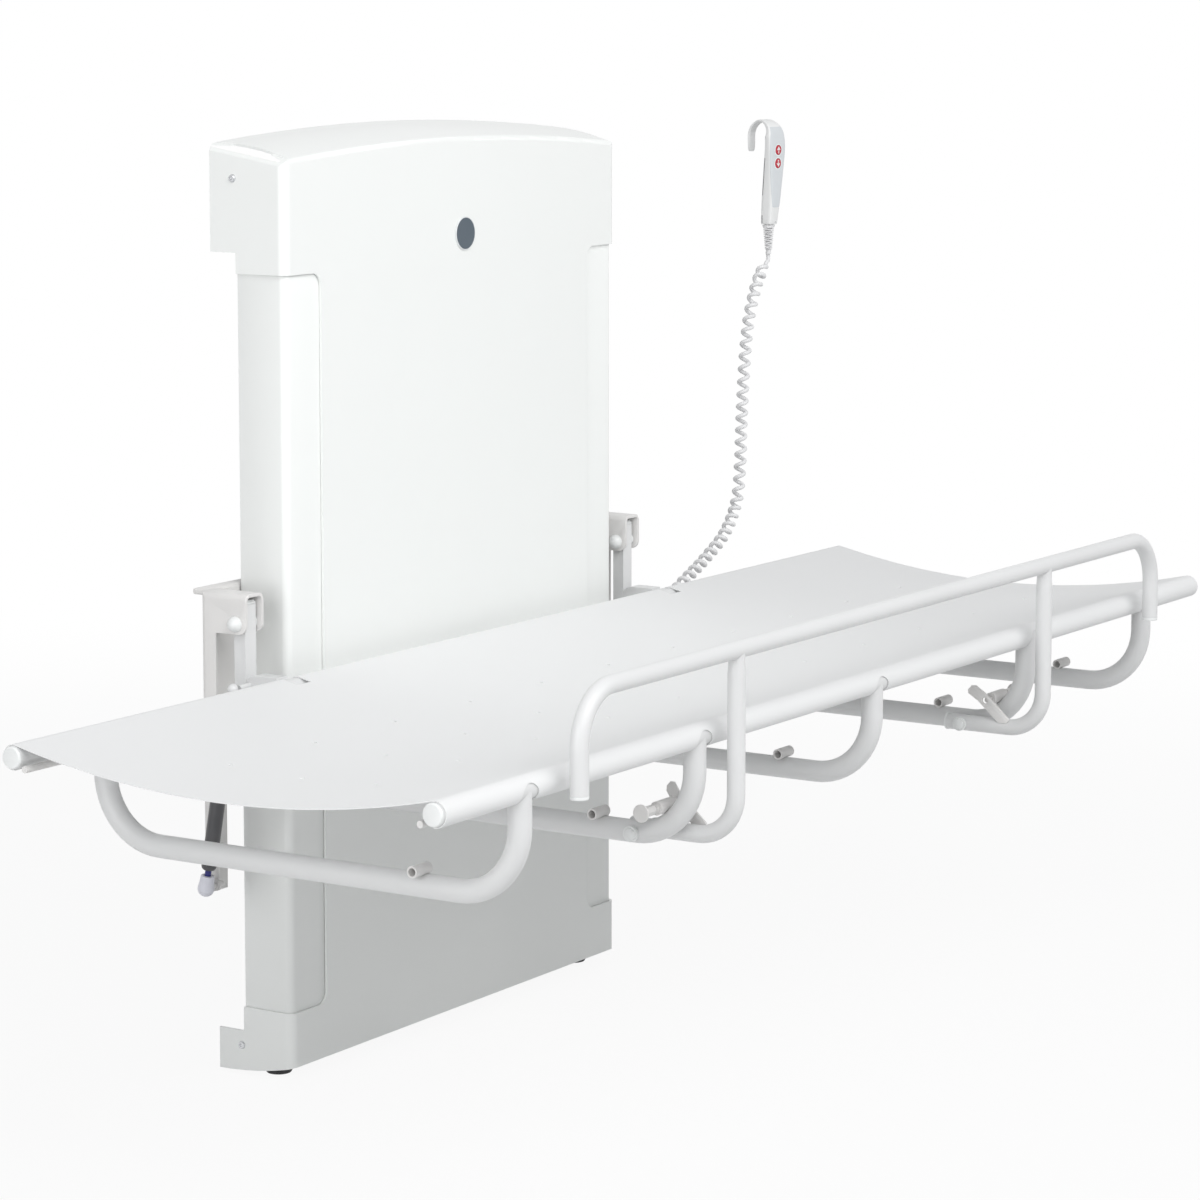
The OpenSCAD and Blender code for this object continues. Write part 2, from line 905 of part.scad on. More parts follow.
// sliding blocks that ride inside the guide profiles
module glide_blocks() {
    x0 = profile_x - profile_w/2;
    color([0.15, 0.15, 0.16])
        placed()
            both_sides()
                for (z = [bridge_lo + 4, ear_hi - glide_h - 6]) {
                    block([x0 + frame_t + glide_gap, -profile_y - profile_w + frame_t + glide_gap, z],
                        [x0 + profile_w - frame_t - glide_gap, -profile_y - frame_t - glide_gap,
                            z + glide_h]);
                    block([x0 - 3, -bridge_y - bridge_t - 6, z + 8],
                        [x0 + frame_t + glide_gap, -bridge_y - 4, z + glide_h - 8]);
                }
}

module lift_nut() {
    color([0.75, 0.66, 0.42])
        placed()
            difference() {
                union() {
                    block([-24, -screw_y - 20, nut_lo], [24, -bridge_y - bridge_t, nut_lo + nut_h]);
                    bar_z(0, -screw_y, nut_lo - 10, nut_lo, 19);
                }
                bar_z(0, -screw_y, nut_lo - 20, nut_lo + nut_h + 10, screw_d/2 + slide_gap);
            }
}

// side view of an ear: rounded lower front corner and the hole for the hinge pin
module ear_side() {
    difference() {
        translate([-ear_y, ear_lo])
            square([ear_y - hang_y, ear_hi - ear_lo]);
        translate([-ear_y, ear_lo])
            difference() {
                translate([-1, -1])
                    square([ear_r + 1, ear_r + 1]);
                translate([ear_r, ear_r])
                    circle(ear_r);
            }
        translate([-pin_y, pin_z])
            circle(pin_d/2);
    }
}

// the strip that hangs below the outer ear, its front corner cut off at the foot
module strip_side() {
    difference() {
        translate([-hang_y - hang_w, hang_lo])
            square([hang_w, ear_lo + 2 - hang_lo]);
        translate([-hang_y - hang_w, hang_lo])
            rotate(45)
                square([hang_w, hang_w], center = true);
    }
}

// one bent plate: outer strip and ear, web, inner ear and the bridge over them
module hanger() {
    difference() {
        union() {
            for (x = [ear_in, ear_out - ear_t])
                side_cut(x, x + ear_t)
                    ear_side();
            side_cut(ear_out - ear_t, ear_out)
                strip_side();
            block([ear_in, -ear_y, ear_hi - ear_t], [ear_out, -hang_y, ear_hi]);
            block([ear_in, -hang_y - ear_t, hang_step], [ear_out, -hang_y, ear_hi]);
            block([ear_in + 8, -hang_y - ear_t, hang_lo], [ear_out, -hang_y, hang_step]);
        }
        bar_x(ear_out - 10, ear_out + 5, -gas_by, gas_bz, 4);
    }
}

module hanger_right() {
    color([0.87, 0.86, 0.85])
        placed()
            hanger();
}

module hanger_left() {
    color([0.87, 0.86, 0.85])
        placed()
            mirror([1, 0, 0])
                hanger();
}

module hinge_pins() {
    color([0.7, 0.71, 0.73])
        placed()
            both_sides()
                bar_x(ear_in - 1, ear_out + 1, -pin_y, pin_z, pin_d/2);
}

module dome_cap(r, h) {
    intersection() {
        translate([0, 0, h - (r*r + h*h)/(2*h)])
            sphere(r = (r*r + h*h)/(2*h));
        cylinder(h = h + 1, r = r);
    }
}

module pin_caps() {
    color([0.95, 0.96, 0.96])
        placed()
            both_sides() {
                difference() {
                    translate([ear_out, -pin_y, pin_z])
                        rotate([0, 90, 0])
                            dome_cap(11, 6);
                    bar_x(ear_out - 5, ear_out + 1, -pin_y, pin_z, pin_d/2);
                }
                difference() {
                    translate([ear_in, -pin_y, pin_z])
                        rotate([0, -90, 0])
                            dome_cap(11, 6);
                    bar_x(ear_in - 1, ear_in + 5, -pin_y, pin_z, pin_d/2);
                }
            }
}

module lower_studs() {
    color([0.6, 0.61, 0.63])
        placed()
            both_sides() {
                bar_x(ear_out - ear_t - 4, ear_out, -gas_by, gas_bz, 4);
                bar_x(ear_out, ear_out + 5, -gas_by, gas_bz, 7);
                bar_x(ear_out + 5, gas_x - 3, -gas_by, gas_bz, 3.2);
                translate([gas_x, -gas_by, gas_bz])
                    sphere(r = ball_r);
            }
}

// Table frame

module hinge_arm() {
    x0 = arm_x - arm_w/2;
    x1 = arm_x + arm_w/2;
    difference() {
        union() {
            block([x0, -arm_front, arm_lo], [x1, -arm_y, arm_hi]);
            side_cut(x0, x1)
                difference() {
                    translate([-back_y + 12, arm_lo])
                        square([back_y - 12 - arm_front + eps, arm_h]);
                    translate([-arm_front - arm_r, arm_lo + arm_h - arm_r])
                        difference() {
                            square([arm_r + 1, arm_r + 1]);
                            circle(arm_r);
                        }
                }
        }
        block([x0 + tube_t, -arm_front + tube_t, arm_lo + tube_t],
            [x1 - tube_t, -arm_y - tube_t, arm_hi + 1]);
        bar_x(x0 - 1, x1 + 1, -back_y, tube_z, tube_r);
        bar_z(cross_in, -back_y, arm_lo - 5, tube_z, tube_r);
        bar_x(x0 - 1, x1 + 1, -pin_y, pin_z, pin_d/2 + 2);
    }
}

module hinge_arms() {
    color([0.95, 0.96, 0.96])
        placed()
            both_sides()
                hinge_arm();
}

module arm_caps() {
    x0 = arm_x - arm_w/2;
    x1 = arm_x + arm_w/2;
    color([0.98, 0.98, 0.98])
        placed()
            both_sides() {
                block([x0, -arm_front, arm_hi], [x1, -arm_y, arm_hi + 3]);
                block([x0 + 1, -arm_front + 1.5, arm_hi + 3], [x1 - 1, -arm_y - 1.5, arm_hi + 5]);
                block([x0 + tube_t + 0.1, -arm_front + tube_t + 0.1, arm_hi - 10],
                    [x1 - tube_t - 0.1, -arm_y - tube_t - 0.1, arm_hi + eps]);
            }
}

module hinge_bushes() {
    color([0.97, 0.97, 0.97])
        placed()
            both_sides()
                difference() {
                    union() {
                        bar_x(ear_in + ear_t + 0.3, ear_out - ear_t - 0.3, -pin_y, pin_z, pin_d/2 + 2);
                        bar_x(ear_in + ear_t + 0.3, arm_x - arm_w/2, -pin_y, pin_z, pin_d/2 + 3.5);
                        bar_x(arm_x + arm_w/2, ear_out - ear_t - 0.3, -pin_y, pin_z, pin_d/2 + 3.5);
                    }
                    bar_x(ear_in, ear_out, -pin_y, pin_z, pin_d/2 + pin_gap);
                }
}

module back_tube() {
    color([0.9, 0.91, 0.91])
        placed()
            pipe_x(-table_l/2 + 3, table_l/2 - 3, -back_y, tube_z, tube_r, tube_t);
}

module front_tube() {
    color([0.9, 0.91, 0.91])
        placed()
            pipe_x(-table_l/2 + 3, table_l/2 - 3, -front_y, tube_z, tube_r, tube_t);
}

module tube_plugs() {
    color([0.97, 0.98, 0.98])
        placed()
            both_sides()
                for (y = [-back_y, -front_y]) {
                    translate([table_l/2 - 3, y, tube_z])
                        rotate([0, 90, 0])
                            cylinder(h = 3, r1 = tube_r, r2 = tube_r - 1.5);
                    bar_x(table_l/2 - 22, table_l/2 - 3 + eps, y, tube_z, tube_r - tube_t - 0.1);
                }
}

// U-shaped cross tube, its ends coped to the long tubes
module cross_tube(x) {
    lo = run_z + cross_r;
    difference() {
        translate([x, 0, 0]) {
            pipe_z(0, -back_y, lo, tube_z, tube_r, tube_t);
            pipe_z(0, -front_y, lo, tube_z, tube_r, tube_t);
            bend_yz(-back_y - cross_r, lo, cross_r, 270, tube_r, tube_t);
            bend_yz(-front_y + cross_r, lo, cross_r, 180, tube_r, tube_t);
            pipe_y(0, -front_y + cross_r, -back_y - cross_r, run_z, tube_r, tube_t);
        }
        bar_x(x - 30, x + 30, -back_y, tube_z, tube_r);
        bar_x(x - 30, x + 30, -front_y, tube_z, tube_r);
        if (abs(x) > 0 && abs(x) < cross_out)
            bar_x(x - 30, x + 30, -pivot_y, pivot_z, pivot_d/2);
    }
}

module cross_tubes() {
    color([0.87, 0.87, 0.87])
        placed()
            for (x = cross_x)
                cross_tube(x);
}

// short open tubes welded across the cross tubes, set outwards except in the middle
module stub_tubes() {
    color([0.84, 0.82, 0.8])
        placed()
            for (x = cross_x)
                difference() {
                    pipe_x(x + sign(x)*stub_off - stub_l/2, x + sign(x)*stub_off + stub_l/2,
                        -stub_y, stub_z, stub_d/2, tube_t);
                    bar_y(x, -stub_y - 20, -stub_y + 20, run_z, tube_r);
                }
}

module hold_down_rods() {
    color([0.88, 0.87, 0.86])
        placed()
            for (y = [-back_y - hold_y, -front_y + hold_y])
                bar_x(-table_l/2 + 3, table_l/2 - 3, y, hold_z, hold_d/2);
}

// Mat

// sideways steepness of the hanging mat where it leaves a tube
mat_a = atan(2*mat_sag/(mat_half - 4));
mat_top = tube_z + mat_rc*cos(mat_a);
mat_reach = mat_half - mat_rc*sin(mat_a);

function sag_z(y) = mat_top - mat_sag*(1 - pow(y/mat_reach, 2));

// the mat's path round the front tube at radius r, from the seam over the top
wraps = 22;
function wrap_at(i, r) =
    let (a = -14 - i*(256 + mat_a)/wraps)
    [-mid_y - mat_half + r*cos(a), tube_z + r*sin(a)];
function flipped(p) = [-2*mid_y - p[0], p[1]];

module mat_band() {
    n = 20;
    h = mat_t/2;
    sag = [for (i = [1 : n - 1]) -mat_reach + 2*mat_reach*i/n];
    outer = [for (i = [0 : wraps]) wrap_at(i, mat_rc + h)];
    inner = [for (i = [0 : wraps]) wrap_at(i, mat_rc - h)];
    polygon(concat(outer,
        [for (y = sag) [y - mid_y, sag_z(y) + h]],
        [for (i = [wraps : -1 : 0]) flipped(outer[i])],
        [for (p = inner) flipped(p)],
        [for (y = sag) [-y - mid_y, sag_z(y) - h]],
        [for (i = [wraps : -1 : 0]) inner[i]]));
}

// the sewn-back layer that closes the sleeve round a tube
module mat_return(s) {
    h = mat_t/2;
    z = tube_z - 3.5;
    y0 = mat_half - mat_rc;
    y1 = mat_reach*sqrt(max(0.05, (z + 0.6 - mat_top + mat_sag)/mat_sag)) - 4;
    polygon([[-mid_y + s*(y0 + h), z - h], [-mid_y + s*(y0 + h), z + h],
        [-mid_y + s*y1, z + h + 0.4], [-mid_y + s*y1, z - h + 0.4]]);
}

module mat() {
    color([0.93, 0.94, 0.93])
        placed()
            difference() {
                union() {
                    side_cut(-mat_end, mat_end)
                        mat_band();
                    for (s = [-1, 1])
                        side_cut(-mat_end, mat_end)
                            mat_return(s);
                }
                for (i = [-5 : 5])
                    for (r = [-1, 0, 1])
                        bar_z(i*drain_pitch, -mid_y + r*drain_row, tube_z - 60, tube_z + 20, drain_d/2);
                for (x = cross_x)
                    for (y = [-back_y, -front_y]) {
                        block([x - notch_r, y - 22, tube_z - 40], [x + notch_r, y + 22, tube_z - 9]);
                        bar_y(x, y - 22, y + 22, tube_z - 9, notch_r);
                    }
                both_sides()
                    block([arm_x - arm_w/2 - 3, -back_y - 6, tube_z - 40],
                        [arm_x + arm_w/2 + 3, -back_y + 22, tube_z + 17.5]);
            }
}

// Latches, rail pivots, studs on the table

module latch_sleeves() {
    color([0.84, 0.83, 0.81])
        placed()
            both_sides()
                difference() {
                    bar_x(sleeve_in, sleeve_out, -latch_y, latch_z, sleeve_d/2);
                    bar_x(sleeve_in - 1, sleeve_in + 5, -latch_y, latch_z, plunger_d/2 + slide_gap);
                    bar_x(sleeve_in + 4, sleeve_out - 5, -latch_y, latch_z, 6);
                    bar_x(sleeve_out - 6, sleeve_out + 1, -latch_y, latch_z, plunger_d/2 + slide_gap);
                    translate([cross_in, 0, 0])
                        translate([0, -front_y + cross_r, run_z + cross_r])
                            rotate([90, 0, 90])
                                rotate([0, 0, 180])
                                    rotate_extrude(angle = 90)
                                        translate([cross_r, 0])
                                            circle(tube_r);
                }
}

module rail_bolts() {
    x0 = leg_x - bar_r - 4;
    x1 = cross_in + tube_r + 4;
    color([0.66, 0.67, 0.69])
        placed()
            both_sides() {
                bar_x(x0, x1, -pivot_y, pivot_z, pivot_d/2);
                difference() {
                    bar_x(leg_x + bar_r + 0.4, cross_in - tube_r, -pivot_y, pivot_z, 9);
                    bar_x(x0, x1, -pivot_y, pivot_z, pivot_d/2 - eps);
                }
            }
}

module bolt_caps() {
    color([0.95, 0.96, 0.96])
        placed()
            both_sides() {
                difference() {
                    translate([cross_in + tube_r, -pivot_y, pivot_z])
                        rotate([0, 90, 0])
                            union() {
                                cylinder(h = 5, r = 9.5);
                                translate([0, 0, 5])
                                    dome_cap(7.5, 4);
                            }
                    bar_x(cross_in, cross_in + tube_r + 4, -pivot_y, pivot_z, pivot_d/2);
                    bar_y(cross_in, -pivot_y - 30, -pivot_y + 30, pivot_z, tube_r);
                }
                difference() {
                    translate([leg_x - bar_r - 0.4, -pivot_y, pivot_z])
                        rotate([0, -90, 0])
                            union() {
                                cylinder(h = 4, r = 9.5);
                                translate([0, 0, 4])
                                    dome_cap(7.5, 4);
                            }
                    bar_x(leg_x - bar_r - 4, leg_x, -pivot_y, pivot_z, pivot_d/2);
                }
            }
}

module upper_studs() {
    x = arm_x + arm_w/2;
    color([0.6, 0.61, 0.63])
        placed()
            both_sides() {
                bar_x(x, x + 5, -gas_ty, gas_tz - 6, 7);
                bar_x(x + 5, gas_x - socket_r - stud_gap, -gas_ty, gas_tz - 6, 3.5);
            }
}

// Guard rail

module rail_bar() {
    h = rail_l/2;
    color([0.93, 0.94, 0.94])
        placed()
            translate([0, -rail_y, 0]) {
                pipe_x(-h + rail_r, h - rail_r, 0, rail_h, bar_r, tube_t);
                both_sides() {
                    bend_xz(h - rail_r, rail_h - rail_r, rail_r, 0, bar_r, tube_t);
                    pipe_z(h, 0, end_lo, rail_h - rail_r, bar_r, tube_t);
                }
            }
}

module rail_end_caps() {
    color([0.97, 0.98, 0.98])
        placed()
            both_sides() {
                bar_z(rail_l/2, -rail_y, end_lo - 4, end_lo, bar_r);
                bar_z(rail_l/2, -rail_y, end_lo - eps, end_lo + 18, bar_r - tube_t - 0.1);
            }
}

// leg: up from the pivot, round a bend and up to the underside of the bar
module rail_leg() {
    lo = pivot_z + leg_r;
    difference() {
        translate([leg_x, 0, 0]) {
            pipe_y(0, -rail_y + leg_r, -pivot_y + 22, pivot_z, bar_r, tube_t);
            bend_yz(-rail_y + leg_r, lo, leg_r, 180, bar_r, tube_t);
            pipe_z(0, -rail_y, lo, rail_h - 28, bar_r, tube_t);
            translate([0, -rail_y, rail_h - 28])
                difference() {
                    union() {
                        cylinder(h = 12, r1 = bar_r, r2 = bar_r - 0.8);
                        translate([0, 0, 12 - eps])
                            cylinder(h = 16, r = bar_r - 0.8);
                    }
                    translate([0, 0, -1])
                        cylinder(h = 40, r = bar_r - tube_t - 0.8);
                }
        }
        bar_x(leg_x - 40, leg_x + 40, -rail_y, rail_h, bar_r);
        bar_x(leg_x - 40, leg_x + 40, -pivot_y, pivot_z, pivot_d/2 + pin_gap);
    }
}

module rail_legs() {
    color([0.9, 0.91, 0.91])
        placed()
            both_sides()
                rail_leg();
}

module leg_plugs() {
    color([0.97, 0.98, 0.98])
        placed()
            both_sides()
                difference() {
                    union() {
                        bar_y(leg_x, -pivot_y + 22, -pivot_y + 24, pivot_z, bar_r + 0.6);
                        translate([leg_x, -pivot_y + 24, pivot_z])
                            rotate([-90, 0, 0])
                                dome_cap(bar_r + 0.6, 3);
                        bar_y(leg_x, -pivot_y + 8, -pivot_y + 22 + eps, pivot_z, bar_r - tube_t - 0.1);
                    }
                    bar_x(leg_x - 40, leg_x + 40, -pivot_y, pivot_z, pivot_d/2 + pin_gap + 1);
                }
}

// strap with a hole for the plunger and a bent lead-in end
module catch_plate() {
    slope = 42;
    lead = 22;
    bend = 7;
    tip = 20;
    h = catch_t/2;
    m = h*tan(lead/2);
    difference() {
        translate([catch_x, -latch_y, latch_z])
            rotate([slope, 0, 0])
                difference() {
                    translate([0, 0, -catch_w/2])
                        linear_extrude(catch_w)
                            polygon([[-h, -42], [h, -42], [h, bend + m],
                                [h*cos(lead) - tip*sin(lead), bend + tip*cos(lead) + h*sin(lead)],
                                [-h*cos(lead) - tip*sin(lead), bend + tip*cos(lead) - h*sin(lead)],
                                [-h, bend - m]]);
                    for (s = [-1, 1])
                        translate([-20, bend + tip*cos(lead), s*(catch_w/2 + 2)])
                            rotate([45, 0, 0])
                                translate([0, -4, -4])
                                    cube([40, 8, 8]);
                }
        bar_x(catch_x - 10, catch_x + 10, -latch_y, latch_z, plunger_d/2 + 1);
        bar_y(leg_x, -rail_y + leg_r, -pivot_y, pivot_z, bar_r);
        translate([leg_x, 0, 0])
            translate([0, -rail_y + leg_r, pivot_z + leg_r])
                rotate([90, 0, 90])
                    rotate([0, 0, 180])
                        rotate_extrude(angle = 90)
                            translate([leg_r, 0])
                                circle(bar_r);
        block([catch_x - 10, -latch_y - 60, pivot_z - 60], [catch_x + 10, -latch_y + 30, pivot_z + 4]);
    }
}

module catch_plates() {
    color([0.85, 0.84, 0.82])
        placed()
            both_sides()
                catch_plate();
}

// Plungers

module plunger() {
    tip = catch_x + catch_t/2 + latch_gap;
    translate([tip + 2, -latch_y, latch_z])
        sphere(r = plunger_d/2 - 1);
    bar_x(tip + 2, sleeve_out + 12, -latch_y, latch_z, plunger_d/2);
    bar_x(sleeve_in + 4.2, sleeve_in + 7, -latch_y, latch_z, 5.6);
    bar_x(sleeve_out + 0.2, sleeve_out + 5, -latch_y, latch_z, 5);
    bar_x(sleeve_out + 12, sleeve_out + 20, -latch_y, latch_z, 5);
    bar_x(sleeve_out + 20, sleeve_out + 29, -latch_y, latch_z, 10);
}

module plunger_right() {
    color([0.78, 0.79, 0.8])
        placed()
            plunger();
}

module plunger_left() {
    color([0.78, 0.79, 0.8])
        placed()
            mirror([1, 0, 0])
                plunger();
}

// spring round the plunger, between its collar and the end wall of the sleeve
module latch_spring() {
    turns = 9;
    wire = 1.1;
    x0 = sleeve_in + 7.2;
    x1 = sleeve_out - 5.2;
    pitch = (x1 - x0 - wire)/turns;
    difference() {
        bar_x(x0, x1, -latch_y, latch_z, 5.3);
        bar_x(x0 - 1, x1 + 1, -latch_y, latch_z, 4.1);
        for (i = [0 : turns - 1])
            difference() {
                bar_x(x0 + wire + i*pitch, x0 + (i + 1)*pitch, -latch_y, latch_z, 6);
                block([x0, -latch_y - 0.6, i % 2 == 0 ? latch_z : latch_z - 6],
                    [x1, -latch_y + 0.6, i % 2 == 0 ? latch_z + 6 : latch_z]);
            }
    }
}

module latch_spring_right() {
    color([0.6, 0.61, 0.63])
        placed()
            latch_spring();
}

module latch_spring_left() {
    color([0.6, 0.61, 0.63])
        placed()
            mirror([1, 0, 0])
                latch_spring();
}

// Gas springs

// places its children along the gas spring, from the lower ball upwards
module on_spring() {
    translate([gas_x, -gas_by, gas_bz])
        rotate([gas_lean, 0, 0])
            children();
}

module gas_rod() {
    neck = 17;
    piston = 131;
    piston_h = 8;
    on_spring()
        difference() {
            union() {
                sphere(r = 10.5);
                cylinder(h = neck, r1 = 10.5, r2 = 8.5);
                translate([0, 0, neck])
                    cylinder(h = piston + piston_h - neck, r = gas_rod_d/2);
                translate([0, 0, piston])
                    cylinder(h = piston_h, r = gas_d/2 - 2.4);
            }
            sphere(r = ball_r + pin_gap);
            rotate([0, -90, 0])
                cylinder(h = 20, r = 4.6);
        }
}

module gas_cylinder() {
    lo = 24.5;
    hi = gas_l - 14;
    on_spring() {
        difference() {
            union() {
                translate([0, 0, lo])
                    cylinder(h = 5, r1 = gas_d/2 - 3, r2 = gas_d/2);
                translate([0, 0, lo + 5])
                    cylinder(h = hi - lo - 5, r = gas_d/2);
            }
            translate([0, 0, lo - 1])
                cylinder(h = 20, r = gas_rod_d/2 + slide_gap);
            translate([0, 0, lo + 10])
                cylinder(h = hi - lo - 16, r = gas_d/2 - 2);
        }
        difference() {
            union() {
                translate([0, 0, hi])
                    cylinder(h = 8, r = 5);
                translate([0, 0, gas_l - 6])
                    sphere(r = socket_r);
            }
            translate([0, 0, gas_l - 6])
                rotate([0, -90, 0])
                    cylinder(h = 20, r = 5);
        }
    }
}

module gas_rod_right() {
    color([0.85, 0.86, 0.92])
        placed()
            gas_rod();
}

module gas_rod_left() {
    color([0.85, 0.86, 0.92])
        placed()
            mirror([1, 0, 0])
                gas_rod();
}

module gas_cylinder_right() {
    color([0.3, 0.3, 0.3])
        placed()
            gas_cylinder();
}

module gas_cylinder_left() {
    color([0.3, 0.3, 0.3])
        placed()
            mirror([1, 0, 0])
                gas_cylinder();
}

guide_profiles();
base_frame();
top_frame();
wall_plates();
column_cover();
side_panel_left();
side_panel_right();
badge_disc();
badge_ring();
cover_screws();
levelling_feet();
gear_motor();
lifting_screw();
screw_bearings();
control_box();
cable_bracket();
cord_gland();
cord();
handset_body();
handset_overlay();
strain_relief();
button_up();
button_down();
carriage_beam();
carriage_bridge();
glide_blocks();
lift_nut();
hanger_left();
hanger_right();
hinge_pins();
pin_caps();
lower_studs();
hinge_arms();
arm_caps();
hinge_bushes();
back_tube();
front_tube();
tube_plugs();
cross_tubes();
stub_tubes();
hold_down_rods();
mat();
latch_sleeves();
rail_bolts();
bolt_caps();
upper_studs();
rail_bar();
rail_legs();
rail_end_caps();
leg_plugs();
catch_plates();
plunger_left();
plunger_right();
latch_spring_left();
latch_spring_right();
gas_rod_left();
gas_rod_right();
gas_cylinder_left();
gas_cylinder_right();
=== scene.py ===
import bpy
import bmesh
import json
import math
from mathutils import Matrix, Vector
from mathutils.bvhtree import BVHTree
from mathutils.interpolate import poly_3d_calc

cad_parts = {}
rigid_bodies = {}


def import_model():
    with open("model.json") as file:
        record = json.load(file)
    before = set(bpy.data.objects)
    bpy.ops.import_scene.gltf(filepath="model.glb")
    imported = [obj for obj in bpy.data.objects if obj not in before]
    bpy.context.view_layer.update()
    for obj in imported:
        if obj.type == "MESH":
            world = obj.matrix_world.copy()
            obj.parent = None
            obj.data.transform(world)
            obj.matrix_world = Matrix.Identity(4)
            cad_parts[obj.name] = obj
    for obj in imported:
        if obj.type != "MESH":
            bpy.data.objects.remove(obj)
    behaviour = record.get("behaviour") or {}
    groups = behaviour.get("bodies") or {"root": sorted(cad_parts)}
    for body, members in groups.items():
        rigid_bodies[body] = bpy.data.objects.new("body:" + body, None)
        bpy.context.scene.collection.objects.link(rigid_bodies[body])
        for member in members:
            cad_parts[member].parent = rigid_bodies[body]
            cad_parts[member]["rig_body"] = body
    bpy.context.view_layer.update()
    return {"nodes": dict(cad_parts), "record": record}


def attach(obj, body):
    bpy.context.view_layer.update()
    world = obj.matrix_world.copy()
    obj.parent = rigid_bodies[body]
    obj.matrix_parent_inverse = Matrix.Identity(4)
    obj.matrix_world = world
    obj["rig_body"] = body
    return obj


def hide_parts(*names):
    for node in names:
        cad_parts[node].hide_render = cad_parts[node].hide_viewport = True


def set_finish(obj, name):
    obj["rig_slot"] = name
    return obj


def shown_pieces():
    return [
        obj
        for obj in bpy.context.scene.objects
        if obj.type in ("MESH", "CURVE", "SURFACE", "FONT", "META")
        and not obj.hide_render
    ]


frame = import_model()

nodes = frame["nodes"]
slot_of = {s["node"]: s["material_slot"] for s in frame["record"]["subparts"]}
FLOOR = -0.6


# Camera: place and direction as solved from the photo

CAMERA_PLACE = (-4.2344, -3.0405, 0.7614)
YAW, PITCH = math.radians(32.5989), math.radians(7.0458)
SENSOR_MM, LENS_MM, LENS_SHIFT = 36, 118.119, -0.1


def placed(name, data):
    """A new object in the scene, for a mesh, a lamp or a camera."""
    obj = bpy.data.objects.new(name, data)
    bpy.context.scene.collection.objects.link(obj)
    return obj


def make_camera():
    look = Vector((math.cos(YAW) * math.cos(PITCH), math.sin(YAW) * math.cos(PITCH), -math.sin(PITCH)))
    data = bpy.data.cameras.new("viewpoint")
    data.sensor_width = SENSOR_MM
    data.lens = LENS_MM
    data.shift_y = LENS_SHIFT
    data.clip_start, data.clip_end = 0.1, 60
    cam = placed("viewpoint", data)
    cam.location = CAMERA_PLACE
    cam.rotation_euler = look.to_track_quat("-Z", "Y").to_euler()
    bpy.context.scene.camera = cam


make_camera()


# Mesh helpers

SHARP = math.radians(32)
EDGE_ANGLE = math.radians(30)
SAME_POINT = 1e-6
MERGE, FLAT_ANGLE = 2e-6, math.radians(0.6)
SHADE_REACH, INWARDS, SAME_SIDE = 0.0005, 0.02, 0.75


def angles(sides):
    return [2 * math.pi * k / sides for k in range(sides)]


def circle(a, b, r, sides=24):
    return [(a + r * math.cos(t), b + r * math.sin(t)) for t in angles(sides)]


def oblong(a0, a1, b0, b1):
    return [(a0, b0), (a1, b0), (a1, b1), (a0, b1)]


def span(side, near, far):
    """Low and high x of a stretch on the left (-1) or right (1), given by its distances from the middle."""
    return sorted((side * near, side * far))


def between(points, i, t):
    """A point of the smooth curve through the points, t of the way from point i to the next."""
    a, b = points[max(i - 1, 0)], points[i]
    c, d = points[i + 1], points[min(i + 2, len(points) - 1)]
    return 0.5 * ((2 * b) + (c - a) * t + (2 * a - 5 * b + 4 * c - d) * t * t
                  + (3 * b - a - 3 * c + d) * t ** 3)


def piece_from(name, verts, faces, smooth=True):
    mesh = bpy.data.meshes.new(name)
    mesh.from_pydata([tuple(v) for v in verts], [], faces)
    mesh.validate()
    mesh.update()
    if smooth:
        mesh.shade_smooth()
    return placed(name, mesh)


def from_bm(bm, name):
    mesh = bpy.data.meshes.new(name)
    bm.to_mesh(mesh)
    bm.free()
    mesh.shade_smooth()
    return placed(name, mesh)


def ring_faces(rows, n, closed=True, capped=True):
    """Faces between rows of n points, round about or open, with or without the two end faces."""
    faces = []
    for i in range(rows - 1):
        for k in range(n if closed else n - 1):
            a, b = i * n + k, i * n + (k + 1) % n
            faces.append((a, b, b + n, a + n))
    if capped:
        faces += [tuple(reversed(range(n))), tuple(range((rows - 1) * n, rows * n))]
    return faces


def drop(*objs):
    for obj in objs:
        bpy.data.objects.remove(obj)


def bake(obj):
    """Turns a piece's modifiers into its mesh."""
    bpy.context.view_layer.update()
    got = bpy.data.meshes.new_from_object(obj.evaluated_get(bpy.context.evaluated_depsgraph_get()))
    obj.modifiers.clear()
    obj.data = got


def cut(obj, *tools, operation="DIFFERENCE"):
    """Cuts a piece with each tool in turn, and uses the tools up."""
    for tool in tools:
        mod = obj.modifiers.new("cut", "BOOLEAN")
        mod.operation = operation
        mod.solver = "EXACT"
        mod.object = tool
        bake(obj)
        drop(tool)


def round_edges(obj, width, segments=2):
    bevel = obj.modifiers.new("edge", "BEVEL")
    bevel.width = width
    bevel.segments = segments
    bevel.limit_method = "ANGLE"
    bevel.angle_limit = EDGE_ANGLE
    bevel.harden_normals = True
    bevel.use_clamp_overlap = True
    bake(obj)
    return obj


def sharpen(obj):
    obj.data.set_sharp_from_angle(angle=SHARP)
    return obj


def solid_mesh(obj):
    """True normals outwards, so that cuts see the inside."""
    bm = bmesh.new()
    bm.from_mesh(obj.data)
    bmesh.ops.recalc_face_normals(bm, faces=bm.faces)
    bm.to_mesh(obj.data)
    bm.free()
    obj.data.update()
    return obj


